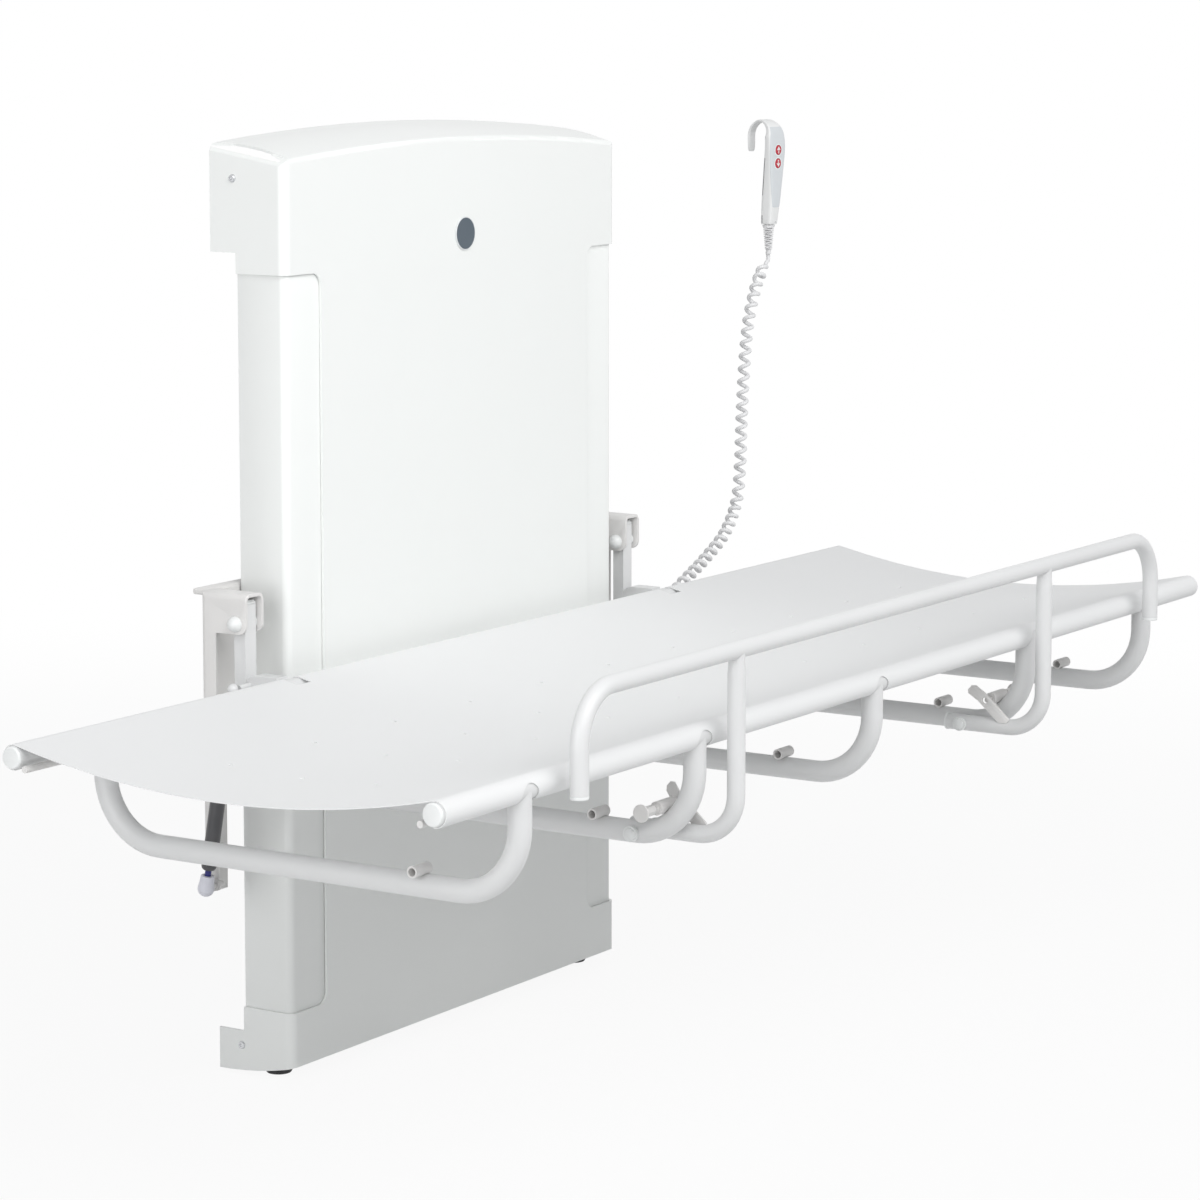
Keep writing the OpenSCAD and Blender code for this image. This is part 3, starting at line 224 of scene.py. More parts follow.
def prisms(name, sections, axis, lo, hi):
    """Straight-sided pieces: each section is a closed line across the axis, joined into one mesh."""
    verts, faces = [], []
    for section in sections:
        start, n = len(verts), len(section)
        for level in (lo, hi):
            for a, b in section:
                verts.append({"x": (level, a, b), "y": (a, level, b), "z": (a, b, level)}[axis])
        for k in range(n):
            j = (k + 1) % n
            faces.append((start + k, start + j, start + n + j, start + n + k))
        faces.append(tuple(start + k for k in reversed(range(n))))
        faces.append(tuple(start + n + k for k in range(n)))
    return solid_mesh(piece_from(name, verts, faces, smooth=False))


def lathe(name, profile, origin, axis, sides=40, closed=False):
    """A turned piece: (height, radius) pairs along an axis, either a closed ring or from axis to axis."""
    axis = Vector(axis).normalized()
    u = axis.orthogonal().normalized()
    v = axis.cross(u)
    origin = Vector(origin)
    steps = profile[:1] + [p for before, p in zip(profile, profile[1:]) if math.dist(p, before) > SAME_POINT]
    verts, rings = [], []
    for h, r in steps:
        spokes = angles(sides) if r else [0]
        rings.append(list(range(len(verts), len(verts) + len(spokes))))
        verts += [origin + axis * h + r * (math.cos(a) * u + math.sin(a) * v) for a in spokes]
    faces = []
    for a, b in zip(rings, rings[1:] + (rings[:1] if closed else [])):
        for k in range(sides):
            j = (k + 1) % sides
            corners = (a[k % len(a)], a[j % len(a)], b[j % len(b)], b[k % len(b)])
            faces.append(tuple(dict.fromkeys(corners)))
    return sharpen(solid_mesh(piece_from(name, verts, faces)))


def round_off(h, r, dh, dr, steps=4):
    """Quarter round from (h, r) over dh and dr, for a lathe profile."""
    return [(h + dh * math.sin(math.pi / 2 * k / steps), r + dr * (1 - math.cos(math.pi / 2 * k / steps)))
            for k in range(steps + 1)]


def together(name, *objs):
    """Several pieces joined into one."""
    bm = bmesh.new()
    for obj in objs:
        bm.from_mesh(obj.data)
    drop(*objs)
    return sharpen(from_bm(bm, name))


def both(make):
    """What make gives for the left side and for the right side, in one list."""
    return [piece for side in (-1, 1) for piece in make(side)]


def carry_normals(obj, form):
    """Shades a cut piece by the smooth form it was cut from; its cut walls stay flat. Uses the form up."""
    verts = [v.co.copy() for v in form.data.vertices]
    polys = [tuple(p.vertices) for p in form.data.polygons]
    bends = [v.normal.copy() for v in form.data.vertices]
    tree = BVHTree.FromPolygons(verts, polys)
    mesh = obj.data
    shading = [None] * len(mesh.loops)
    for poly in mesh.polygons:
        flat, centre = poly.normal.copy(), poly.center.copy()
        for li in poly.loop_indices:
            p = mesh.vertices[mesh.loops[li].vertex_index].co
            spot, _, index, gap = tree.find_nearest(p.lerp(centre, INWARDS))
            shading[li] = flat
            if index is not None and gap < SHADE_REACH:
                ids = polys[index]
                weights = poly_3d_calc([verts[i] for i in ids], spot)
                smooth = sum((bends[i] * w for i, w in zip(ids, weights)), Vector()).normalized()
                if smooth.dot(flat) > SAME_SIDE:
                    shading[li] = smooth
    mesh.shade_smooth()
    mesh.normals_split_custom_set(shading)
    drop(form)


# Pieces on their bodies

def body_of(node):
    return nodes[node]["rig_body"]


def fit(obj, body, slot, *stands_for):
    """Puts a piece on its body with its finish slot, in place of the nodes it stands for."""
    if stands_for:
        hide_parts(*stands_for)
    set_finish(obj, slot)
    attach(obj, body)
    return obj


def fit_for(node, obj):
    """Puts a piece where a CAD node is, with the node's own body and finish."""
    return fit(obj, body_of(node), slot_of[node], node)


def copy_of(node):
    """A copy of a CAD node with its flat faces made whole, ready for edge rounding."""
    bm = bmesh.new()
    bm.from_mesh(nodes[node].data)
    bmesh.ops.remove_doubles(bm, verts=bm.verts, dist=MERGE)
    bmesh.ops.dissolve_limit(bm, angle_limit=FLAT_ANGLE, verts=bm.verts, edges=bm.edges)
    return bm


def softened(node, width, segments=2, reshape=None, tools=()):
    """A copy of a CAD node with its hard edges rounded over, after small changes to its shape."""
    bm = copy_of(node)
    if reshape:
        for v in bm.verts:
            v.co = reshape(v.co)
    obj = from_bm(bm, node + "_soft")
    cut(obj, *tools)
    return fit_for(node, round_edges(obj, width, segments))


# Curly cord: its listed route, then the curls on each stretch of it

CORD_END = (0.908, -0.052, 0.374)
CORD_ROUTE = [
    (0.369, -0.021, -0.215), (0.406, -0.021, -0.215), (0.450, -0.021, -0.214), (0.490, -0.022, -0.206),
    (0.530, -0.026, -0.184), (0.570, -0.032, -0.160), (0.620, -0.042, -0.130), (0.671, -0.050, -0.099),
    (0.722, -0.056, -0.071), (0.772, -0.060, -0.038), (0.806, -0.060, 0.006), (0.816, -0.060, 0.060),
    (0.819, -0.060, 0.115), (0.823, -0.060, 0.168), (0.829, -0.060, 0.225), (0.840, -0.060, 0.278),
    (0.862, -0.059, 0.324), (0.886, -0.056, 0.348), (0.908, -0.053, 0.362), CORD_END]
CORD_CURLS = [0, 0, 1, 4, 4, 4, 4, 4, 4, 4, 3, 3, 3, 3, 3, 3, 2, 1, 0]
CORD_D = 0.0062
CORD_SIDES = 12
CURL_D = 0.0130
CURL_POINTS, STRETCH_POINTS = 24, 6
SWELL_CURLS, LOOK_AHEAD = 1.25, 0.01


def curly_path():
    route = [Vector(p) for p in CORD_ROUTE]
    total = sum(CORD_CURLS)
    line = []
    for i, curls in enumerate(CORD_CURLS):
        n = max(STRETCH_POINTS, curls * CURL_POINTS)
        for k in range(n):
            t = k / n
            turn = sum(CORD_CURLS[:i]) + curls * t
            p = between(route, i, t)
            ahead = (between(route, i, t + LOOK_AHEAD) - p).normalized()
            side = ahead.cross(Vector((0, 1, 0))).normalized()
            up = ahead.cross(side)
            u = max(0.0, min(1.0, min(turn, total - turn) / SWELL_CURLS))
            swell = u * u * (3 - 2 * u)
            a = 2 * math.pi * turn
            line.append(p + CURL_D / 2 * swell * (math.cos(a) * side + math.sin(a) * up))
    return line + [route[-1]]


def tube(name, path, radius, sides, first, last):
    """A round tube along a path, with its ends square to the first and the last direction."""
    directions = [Vector(first)] + [b - a for a, b in zip(path, path[2:])] + [Vector(last)]
    u = directions[0].normalized().orthogonal().normalized()
    verts = []
    for p, t in zip(path, directions):
        t.normalize()
        u = (u - u.dot(t) * t).normalized()
        v = t.cross(u)
        verts += [p + radius * (math.cos(a) * u + math.sin(a) * v) for a in angles(sides)]
    return piece_from(name, verts, ring_faces(len(path), sides))


def make_cord():
    path = curly_path()
    obj = tube("curly_cord", path, CORD_D / 2, CORD_SIDES, (1, 0, 0), (0, 0, 1))
    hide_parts("cord")
    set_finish(obj, "cord_white")
    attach(obj, "column")


make_cord()


# Mat: one welded sheet, wrapped round both long tubes and slung between them

TUBE_Z = -0.085
MID_Y = -0.44655
MAT_HALF = 0.28655
WRAP_R = 0.01435
MAT_SAG = 0.033
MAT_T = 0.0012
MAT_END = 0.945
MAT_STEPS, WRAP_STEPS, SAG_STEPS, ARCH_STEPS = 24, 44, 26, 14
FREE_EDGE = -86
LEAVE = math.atan(2 * MAT_SAG / (MAT_HALF - 0.004))
MAT_TOP = TUBE_Z + WRAP_R * math.cos(LEAVE)
MAT_REACH = MAT_HALF - WRAP_R * math.sin(LEAVE)
CROSS_X = (-0.78603, -0.424, 0.0, 0.424, 0.78603)
ARM_X, ARM_W = 0.435, 0.022
NOTCH_R, NOTCH_DROP, CUT_REACH, CUT_LOW = 0.01695, 0.009, 0.022, 0.040
ARM_SLOT_HALF, ARM_SLOT_OUT, ARM_SLOT_TOP = 0.0145, 0.006, 0.0175
DRAIN_PITCH, DRAIN_ROW, DRAIN_R = 0.1582, 0.101, 0.003
DRAIN_LOW, DRAIN_HIGH = 0.06, 0.02


def hanging(u):
    """Height of the slung sheet at a distance from the table's middle line."""
    return MAT_TOP - MAT_SAG * (1 - (u / MAT_REACH) ** 2)


def half_section():
    """From the free edge under the tube, round its outside and in to the middle; u counts outwards."""
    last = -270 - math.degrees(LEAVE)
    line = []
    for k in range(WRAP_STEPS + 1):
        a = math.radians(FREE_EDGE + (last - FREE_EDGE) * k / WRAP_STEPS)
        line.append((MAT_HALF - WRAP_R * math.cos(a), TUBE_Z + WRAP_R * math.sin(a)))
    for k in range(1, SAG_STEPS + 1):
        u = MAT_REACH * (1 - k / SAG_STEPS)
        line.append((u, hanging(u)))
    return line


def mat_line():
    half = half_section()
    return [(MID_Y - u, z) for u, z in half] + [(MID_Y + u, z) for u, z in reversed(half[:-1])]


def offset(line, gap):
    out = []
    for i, p in enumerate(line):
        a, b = line[max(i - 1, 0)], line[min(i + 1, len(line) - 1)]
        t = Vector((b[0] - a[0], b[1] - a[1])).normalized()
        out.append((p[0] - t.y * gap, p[1] + t.x * gap))
    return out


def extruded(name, loop, stations, closed):
    """A (y, z) line carried along x: a closed one with end faces, or an open skin."""
    verts = [(x, y, z) for x in stations for y, z in loop]
    return piece_from(name, verts, ring_faces(len(stations), len(loop), closed, closed))


def arch(x):
    """A notch over a cross tube: straight sides under a half round."""
    z, low = TUBE_Z - NOTCH_DROP, TUBE_Z - CUT_LOW
    bow = [math.pi * k / ARCH_STEPS for k in range(ARCH_STEPS + 1)]
    return [(x - NOTCH_R, low), (x + NOTCH_R, low)] + [
        (x + NOTCH_R * math.cos(a), z + NOTCH_R * math.sin(a)) for a in bow]


def mat_cuts():
    """Cutters for the drain holes, the notches over the cross tubes and the slots over the arms."""
    drains = [circle(i * DRAIN_PITCH, MID_Y + row * DRAIN_ROW, DRAIN_R)
              for i in range(-5, 6) for row in (-1, 0, 1)]
    tools = [prisms("drains", drains, "z", TUBE_Z - DRAIN_LOW, TUBE_Z + DRAIN_HIGH)]
    for side in (-1, 1):
        y = MID_Y + side * MAT_HALF
        tools.append(prisms("notches", [arch(x) for x in CROSS_X], "y", y - CUT_REACH, y + CUT_REACH))
    back = MID_Y + MAT_HALF
    slots = [oblong(x - ARM_SLOT_HALF, x + ARM_SLOT_HALF, back - CUT_REACH, back + ARM_SLOT_OUT)
             for x in (-ARM_X, ARM_X)]
    return tools + [prisms("arm_slots", slots, "z", TUBE_Z - CUT_LOW, TUBE_Z + ARM_SLOT_TOP)]


def make_mat():
    line = mat_line()
    stations = [-MAT_END + 2 * MAT_END * k / MAT_STEPS for k in range(MAT_STEPS + 1)]
    top, under = offset(line, MAT_T / 2), offset(line, -MAT_T / 2)[::-1]
    mat = solid_mesh(extruded("mat_sheet", top + under, stations, True))
    form = together("mat_form", *[extruded("form", side, stations, False) for side in (top, under)])
    cut(mat, *mat_cuts())
    carry_normals(mat, form)
    fit(mat, "table", "mat_fabric", "mat")


make_mat()


# Handset: a moulded grip that runs on into the hanging hook. Its own measures are in mm.

HAND_X, HAND_Y, HAND_Z = 0.908, -0.052, 0.416
AT_HAND = Matrix.Translation((HAND_X, HAND_Y, 0))
HAND_TURN = AT_HAND @ Matrix.Rotation(math.radians(-6), 4, "Z") @ AT_HAND.inverted()
HAND_SIDES = 52
# Height, front, back, half width in front and half width at the back
GRIP = [(0, -11.2, 4.4, 9.7, 11.7), (1.2, -12.0, 5.2, 10.6, 12.6), (29, -15.6, 3.5, 11.6, 14.8),
        (59, -17.3, 0.5, 14.5, 16.5), (92, -18.6, -3.5, 18.2, 18.5), (112, -19.2, -5.8, 19.8, 19.2),
        (124, -18.8, -6.3, 19.8, 19.2), (132, -18.0, -6.2, 19.4, 19.4)]
HOOK_Y, HOOK_Z, HOOK_R, HOOK_T, HOOK_W = 7.3, 132.0, 25.3, 3.5, 8.0
HOOK_THICKENS, HOOK_WIDENS = 8.3, 11.4
# Distance down from the hook's level and half width there
HOOK_END = [(6, 8), (12, 8), (17, 7.7), (20, 6.9), (22, 5.4), (23, 3.6)]
# Lower and upper end of the long slanting slit and of the short one, as depth and height
GRIP_SLITS = [((-1.0, 44), (-7.5, 100)), ((2.0, 1.8), (1.4, 13.8))]
SLIT_NEAR, SLIT_FAR, SLIT_HALF = 0.0095, 0.030, 1.0
FOOT_HOLE_X, FOOT_HOLE_Z, FOOT_HOLE_R = 0.003, 0.0034, 0.0011
# Depth and gap of the dark sheet that paints the shade inside the slits and the hole
SHADE_SHEET_DEPTH, SHADE_SHEET_GAP = 0.7, 0.03
FILM_T = 0.45
# Right half of the printed film's outline, as distance from the middle and height
FILM_EDGE = [(12.8, 146.6), (14.4, 145), (18.5, 128), (18.8, 112), (17.4, 92), (13.6, 59), (8.8, 27.6),
             (7.4, 26)]
BUTTON_R, BUTTON_GAP = 7.4, 0.3
BUTTON_PLACES = [Vector((HAND_X, HAND_Y + y / 1000, HAND_Z + z / 1000))
                 for y, z in ((-19.7, 112), (-19.1, 92))]
WELL_FLOOR, HOLE_FLOOR, SHADE_SHEET_HOLE_FLOOR, HAND_FRONT = -0.0105, -0.0085, -0.0088, -0.040
FILM_BACK, FILM_FRONT = -0.0088, -0.060
NECK_Y, NECK_BORE_R, NECK_LOW, NECK_HIGH = -0.002, 0.0066, -0.001, 0.0125
KEY_DEPTH, ARROW_TOP, ARROW_LOW = 0.0073, 0.00062, 0.0002


def hook_station(a):
    """The strap thins and narrows as it bends over from the grip."""
    inner = HOOK_R - HOOK_T - HOOK_THICKENS * (max(0, a - 90) / 90) ** 1.3
    width = HOOK_W + HOOK_WIDENS * (max(0, a - 60) / 120) ** 0.9
    c, s = math.cos(math.radians(a)), math.sin(math.radians(a))
    return HOOK_Y + HOOK_R * c, HOOK_Z + HOOK_R * s, HOOK_Y + inner * c, HOOK_Z + inner * s, width, width


def hand_stations():
    """Front point, back point and the two half widths, from the foot up and over to the tip of the hook."""
    grip = [Vector((front, z, back, z, *widths)) for z, front, back, *widths in GRIP]
    line = grip[:1] + [between(grip, i, k / 5) for i in range(1, len(grip) - 1) for k in range(5)] + grip[-1:]
    line += [hook_station(a) for a in range(175, -1, -5)]
    tip = HOOK_Y + HOOK_R
    return line + [(tip, HOOK_Z - d, tip - HOOK_T, HOOK_Z - d, w, w) for d, w in HOOK_END]


def swing(v, power=0.42):
    """A sine or cosine raised to a power: the lower the power, the squarer the section."""
    return math.copysign(abs(v) ** power, v)


def hand_form(name, grow, capped=True):
    """The handset's outer form, all round larger by grow."""
    verts = []
    rows = hand_stations()
    for front_y, front_z, back_y, back_z, wide_front, wide_back in rows:
        front, back = Vector((front_y, front_z)), Vector((back_y, back_z))
        middle, half = (front + back) / 2, (front - back) / 2
        for a in angles(HAND_SIDES):
            c = swing(math.cos(a))
            p = middle + half * (1 + grow / half.length) * c
            x = ((wide_front + wide_back) / 2 + (wide_front - wide_back) / 2 * c + grow) * swing(math.sin(a))
            verts.append((HAND_X + x / 1000, HAND_Y + p.x / 1000, HAND_Z + p.y / 1000))
    return solid_mesh(piece_from(name, verts, ring_faces(len(rows), HAND_SIDES, capped=capped)))


def button_wells():
    rounds = [circle(HAND_X, p.z, (BUTTON_R + BUTTON_GAP) / 1000, 40) for p in BUTTON_PLACES]
    return prisms("wells", rounds, "y", HAND_Y + HAND_FRONT, HAND_Y + WELL_FLOOR)


def grip_slits(slim=0.0):
    """The slanting long slit and the short one on both sides of the grip."""
    half = SLIT_HALF - slim
    sections = [[(HAND_Y + (y + dy) / 1000, HAND_Z + z / 1000)
                 for y, z, dy in ((*a, -half), (*a, half), (*b, half), (*b, -half))] for a, b in GRIP_SLITS]
    return [prisms("grip_slits", sections, "x", *sorted((HAND_X + s * SLIT_NEAR, HAND_X + s * SLIT_FAR)))
            for s in (-1, 1)]


def foot_hole(r, floor):
    place = circle(HAND_X + FOOT_HOLE_X, HAND_Z + FOOT_HOLE_Z, r, 16)
    return prisms("foot_hole", [place], "y", HAND_Y + HAND_FRONT, HAND_Y + floor)


def turned(obj):
    """Turns a piece with the handset about its upright axis."""
    obj.data.transform(HAND_TURN)
    return obj


def make_handset():
    """The shell, and the dark sheet of painted shade that shows in its slits and its hole."""
    body, form = hand_form("handset_shell", 0), hand_form("hand_form", 0, capped=False)
    bore = prisms("bore", [circle(HAND_X, HAND_Y + NECK_Y, NECK_BORE_R)], "z",
                  HAND_Z + NECK_LOW, HAND_Z + NECK_HIGH)
    cut(body, button_wells(), bore, foot_hole(FOOT_HOLE_R, HOLE_FLOOR), *grip_slits())
    carry_normals(body, form)
    # Painted shade: a dark grey sheet just under the surface, cut to the slits and the hole, makes them look
    # dark.
    shade_sheet = hand_form("slit_liner", -SHADE_SHEET_DEPTH)
    hole = foot_hole(FOOT_HOLE_R - SHADE_SHEET_GAP / 1000, SHADE_SHEET_HOLE_FLOOR)
    holes = together("liner_holes", *grip_slits(SHADE_SHEET_GAP), hole)
    cut(shade_sheet, holes, operation="INTERSECT")
    fit(turned(shade_sheet), "column", "box_grey")
    fit(turned(body), "column", "handset_white", "handset_body")


def make_keypad():
    """The printed film over the front of the grip."""
    film = hand_form("keypad_film", FILM_T)
    outline = FILM_EDGE + [(-a, b) for a, b in reversed(FILM_EDGE)]
    front = prisms("film_outline", [[(HAND_X + a / 1000, HAND_Z + b / 1000) for a, b in outline]], "y",
                   HAND_Y + FILM_FRONT, HAND_Y + FILM_BACK)
    cut(film, front, operation="INTERSECT")
    cut(film, hand_form("core", 0), button_wells())
    carry_normals(film, hand_form("film_form", FILM_T, capped=False))
    fit(turned(film), "column", "overlay_grey", "handset_overlay")


def make_button(name, place, up):
    """A nearly flush key with a plain arrow standing up from its face; up is 1 or -1."""
    r = BUTTON_R / 1000
    key = lathe(name + "_cap", [(-KEY_DEPTH, 0), (-KEY_DEPTH, r - 0.0002), (-0.0004, r)]
                + round_off(-0.0004, r, 0.0006, -0.0006) + [(0.0004, 0.004), (0.0005, 0)],
                place, (0, -1, 0), 44)
    head = [(-4.2, 0.0), (4.2, 0.0), (0, 5.2 * up)]
    stem = [(-1.3, -0.9 * up), (1.3, -0.9 * up), (1.3, -2.6 * up), (-1.3, -2.6 * up)]
    foot = [(-1.3, -3.4 * up), (1.3, -3.4 * up), (1.3, -5.0 * up), (-1.3, -5.0 * up)]
    signs = [[(place.x + a / 1000, place.z + b / 1000) for a, b in part] for part in (head, stem, foot)]
    arrow = prisms(name + "_arrow", signs, "y", place.y - ARROW_TOP, place.y - ARROW_LOW)
    fit(turned(key), body_of(name), "button_red", name)
    fit(turned(arrow), body_of(name), "cap_white")


# Strain relief, in mm: two slots on each pitch, one from front and back and a later one from the sides

SLOT_PAIRS, SLOT_FIRST, SLOT_PITCH, SLOT_LATER, SLOT_H, SLOT_WEB = 6, 5.37, 5.61, 2.83, 1.43, 2.34
SLEEVE_RX, SLEEVE_RY, TAPER_X, TAPER_Y, SLEEVE_POWER = 9.9, 6.9, 0.118, 0.05, 0.8
SLEEVE_NECK = [(11.8, 6.2, 6.2, 1), (-0.9, 6.2, 6.2, 1), (-0.9, 9.6, 6.6, 0.7), (-1.3, 10.4, 7.2, 0.7),
               (-3.2, 10.4, 7.2, 0.7), (-3.7, 9.8, 6.8, 0.7)]
SLEEVE_COLLAR = [(-37.6, 4.6, 4.4, 1), (-39.2, 3.9, 3.9, 1), (-44.4, 3.9, 3.9, 1), (-45, 3.4, 3.4, 1),
                 (-45, 3.15, 3.15, 1), (-41.5, 3.15, 3.15, 1)]


def oval_loft(name, rows, sides=48):
    """Rounded sections (height, half width, half depth, power) about the sleeve's axis, joined in order."""
    verts = []
    for z, rx, ry, power in rows:
        for a in angles(sides):
            verts.append((HAND_X + rx * swing(math.cos(a), power) / 1000,
                          HAND_Y + NECK_Y + ry * swing(math.sin(a), power) / 1000, HAND_Z + z / 1000))
    return sharpen(solid_mesh(piece_from(name, verts, ring_faces(len(rows), sides))))


def make_strain_relief():
    """A tapered sleeve with slots in turn from front and back and from the sides."""
    rows = [(-3.5, SLEEVE_RX, SLEEVE_RY, SLEEVE_POWER)]
    for i in range(SLOT_PAIRS):
        for later, from_side in ((0, False), (SLOT_LATER, True)):
            top = -(SLOT_FIRST + SLOT_PITCH * i + later)
            rx, ry = SLEEVE_RX + TAPER_X * top, SLEEVE_RY + TAPER_Y * top
            inner = (SLOT_WEB, ry * 0.97) if from_side else (rx * 0.97, SLOT_WEB)
            rows += [(z, *radii, SLEEVE_POWER) for z, radii in (
                (top, (rx, ry)), (top, inner), (top - SLOT_H, inner), (top - SLOT_H, (rx - 0.17, ry - 0.07)))]
    rows.append((-38, 5.3, 4.8, SLEEVE_POWER))
    neck, collar = oval_loft("neck", SLEEVE_NECK), oval_loft("collar", SLEEVE_COLLAR)
    fit_for("strain_relief", turned(together("strain_sleeve", oval_loft("taper", rows), neck, collar)))


make_handset()
make_keypad()
make_button("button_up", BUTTON_PLACES[0], 1)
make_button("button_down", BUTTON_PLACES[1], -1)
make_strain_relief()


# Gas springs: a plastic ball socket, a thin rod and a painted cylinder

GAS_X, GAS_FOOT, GAS_LEN = 0.478, (-0.060, -0.337), 0.26413
GAS_AXIS = Vector((0, -0.0465, 0.260)).normalized()
GAS_ROD_R, GAS_R, GAS_BORE_R = 0.004, 0.0095, 0.0071
BARREL_LOW, BARREL_TOP = 0.0245, GAS_LEN - 0.014
SOCKET_R, SEAT_R, EYE_R, EYE_H = 0.0105, 0.00506, 0.0068, GAS_LEN - 0.006
STUD_WELL_R, STUD_WELL_DEPTH = 0.0046, 0.020


def stud_well(y, z, side):
    """Cutter for the hole that a stud goes into, from the side of the table."""
    return prisms("stud_well", [circle(y, z, STUD_WELL_R)], "x", *span(side, GAS_X - STUD_WELL_DEPTH, GAS_X))


def make_gas_rod(side, word):
    """The socket over the lower stud, and the rod with its piston that stands in the socket."""
    foot = Vector((side * GAS_X, *GAS_FOOT))
    bowl = [(-SOCKET_R, 0)] + [(SOCKET_R * math.sin(math.radians(a)), SOCKET_R * math.cos(math.radians(a)))
                               for a in range(-84, 7, 6)] + [(0.0062, 0.0095), (0.0155, 0.0086)]
    rim = round_off(0.0155, 0.0086, 0.0014, -0.0012) + [(0.0170, 0.0046), (0.0150, 0.0042), (0.0150, 0)]
    socket = lathe("gas_socket_" + word, bowl + rim, foot, GAS_AXIS, 44)
    form = lathe("socket_form", bowl, foot, GAS_AXIS, 44)
    seat = lathe("ball_seat", [(-SEAT_R * math.cos(math.pi * k / 16), SEAT_R * math.sin(math.pi * k / 16))
                               for k in range(17)], foot, GAS_AXIS, 24)
    cut(socket, stud_well(*GAS_FOOT, side), seat)
    carry_normals(socket, form)
    rod = lathe("gas_bright_rod_" + word, [
        (0.0152, 0), (0.0152, GAS_ROD_R), (0.131, GAS_ROD_R), (0.131, 0.0066), (0.1316, GAS_BORE_R),
        (0.1384, GAS_BORE_R), (0.139, 0.0066), (0.139, 0)], foot, GAS_AXIS, 32)
    node = "gas_rod_" + word
    fit(socket, body_of(node), "cap_white", node)
    fit(rod, body_of(node), "gas_rod_navy", node)
    return socket


def make_gas_cylinder(side, word):
    """The hollow barrel, rounded at its lower end, and the round eye at its top."""
    foot = Vector((side * GAS_X, *GAS_FOOT))
    low, top = BARREL_LOW, BARREL_TOP
    barrel = [(low, 0.0042), (low, 0.0056)]
    barrel += [(low + 0.0052 * (1 - math.cos(math.radians(a))), 0.0056 + 0.0039 * math.sin(math.radians(a)))
               for a in range(15, 91, 15)]
    barrel += [(top - 0.002, GAS_R), (top - 0.0006, GAS_R - 0.0007), (top, GAS_R - 0.002), (top, 0.0072),
               (top - 0.004, GAS_BORE_R), (0.0345, GAS_BORE_R), (0.0345, 0.0042)]
    cylinder = lathe("gas_barrel_" + word, barrel, foot, GAS_AXIS, 44, closed=True)
    ball = [(EYE_H - EYE_R * math.cos(math.radians(a)), EYE_R * math.sin(math.radians(a)))
            for a in range(50, 175, 7)]
    eye = lathe("gas_eye_" + word, [(top - 0.003, 0), (top - 0.003, 0.005), (top + 0.0012, 0.005)] + ball
                + [(EYE_H + EYE_R, 0)], foot, GAS_AXIS, 36)
    middle = foot + GAS_AXIS * EYE_H
    cut(eye, stud_well(middle.y, middle.z, side))
    node = "gas_cylinder_" + word
    fit(cylinder, body_of(node), "gas_grey", node)
    fit(sharpen(eye), body_of(node), "cap_white", node)
    return eye


gas_ends = [(make_gas_rod(side, word), make_gas_cylinder(side, word))
            for side, word in ((-1, "left"), (1, "right"))]


# Hangers: 4 mm plate, folded into a narrow channel round the hinge

EAR_IN, EAR_OUT, PLATE = 0.418, 0.454, 0.004
HINGE_Y, HINGE_Z = -0.092, -0.007
CAD_EAR_IN, CAD_EAR_EDGE, CAD_EAR_LOW = 0.402, 0.4066, -0.1204
EAR_TOP, EAR_BACK = 0.030, -0.037
BEND_R = 0.0078
PLATE_EDGE = 0.0006
UNDER_EAR_X, UNDER_EAR_Y, UNDER_EAR_Z = (0.400, 0.432), (-0.050, -0.030), (-0.1185, -0.0203)
# The web's outline as distance from the middle and height: broad under the inner ear, narrow behind it
WEB = [(0.380, -0.1215), (0.434, -0.1215), (0.434, -0.0204), (0.4182, -0.0204), (0.4182, 0.0285),
       (0.380, 0.0285)]


def close_to(value, *wanted):
    return any(abs(value - w) < 2e-4 for w in wanted)


def fold_edges(bm, depth):
    """The edges where the ears are folded, along the top and down the back, on a face so deep inside."""
    found = []
    for e in bm.edges:
        a, b = (v.co for v in e.verts)
        level = close_to(a.x, b.x) and close_to(a.z, b.z) and close_to(a.z, EAR_TOP - depth)
        upright = close_to(a.x, b.x) and close_to(a.y, b.y) and close_to(a.y, EAR_BACK - depth)
        if (level or upright) and close_to(abs(a.x), EAR_IN + depth, EAR_OUT - depth):
            found.append(e)
    return found


def make_hanger(node, side):
    bm = copy_of(node)
    for v in bm.verts:
        if abs(v.co.x) < CAD_EAR_EDGE and v.co.z > CAD_EAR_LOW:
            v.co.x += side * (EAR_IN - CAD_EAR_IN)
    flat = from_bm(bm, node + "_flat")
    cut(flat, prisms("under_ear", [oblong(*span(side, *UNDER_EAR_X), *UNDER_EAR_Z)], "y", *UNDER_EAR_Y))
    bm = bmesh.new()
    bm.from_mesh(flat.data)
    drop(flat)
    outside, inside = fold_edges(bm, 0), fold_edges(bm, PLATE)
    bmesh.ops.bevel(bm, geom=outside, offset=BEND_R, segments=6, profile=0.5, affect="EDGES")
    inside = [e for e in inside if e.is_valid]
    bmesh.ops.bevel(bm, geom=inside, offset=PLATE, segments=4, profile=0.5, affect="EDGES")
    folded = from_bm(bm, node + "_folded")
    web = prisms("web", [[(side * x, z) for x, z in WEB]], "y", EAR_BACK - PLATE + 0.0001, EAR_BACK - 0.0001)
    for piece in (folded, web):
        fit_for(node, round_edges(piece, PLATE_EDGE))


make_hanger("hanger_left", -1)
make_hanger("hanger_right", 1)


# Hinge: domed caps, pins and the washers beside the arm

PIN_CAP = (0.0098, 0.0026, 0.0093, 0.0092)
CAP_STEP = 0.0004
HINGE_PIN_R, HINGE_PIN_LEN = 0.006, 0.037
WASHER_BORE, WASHER_R = 0.0062, 0.0090
HINGE_PLAY = 0.0002


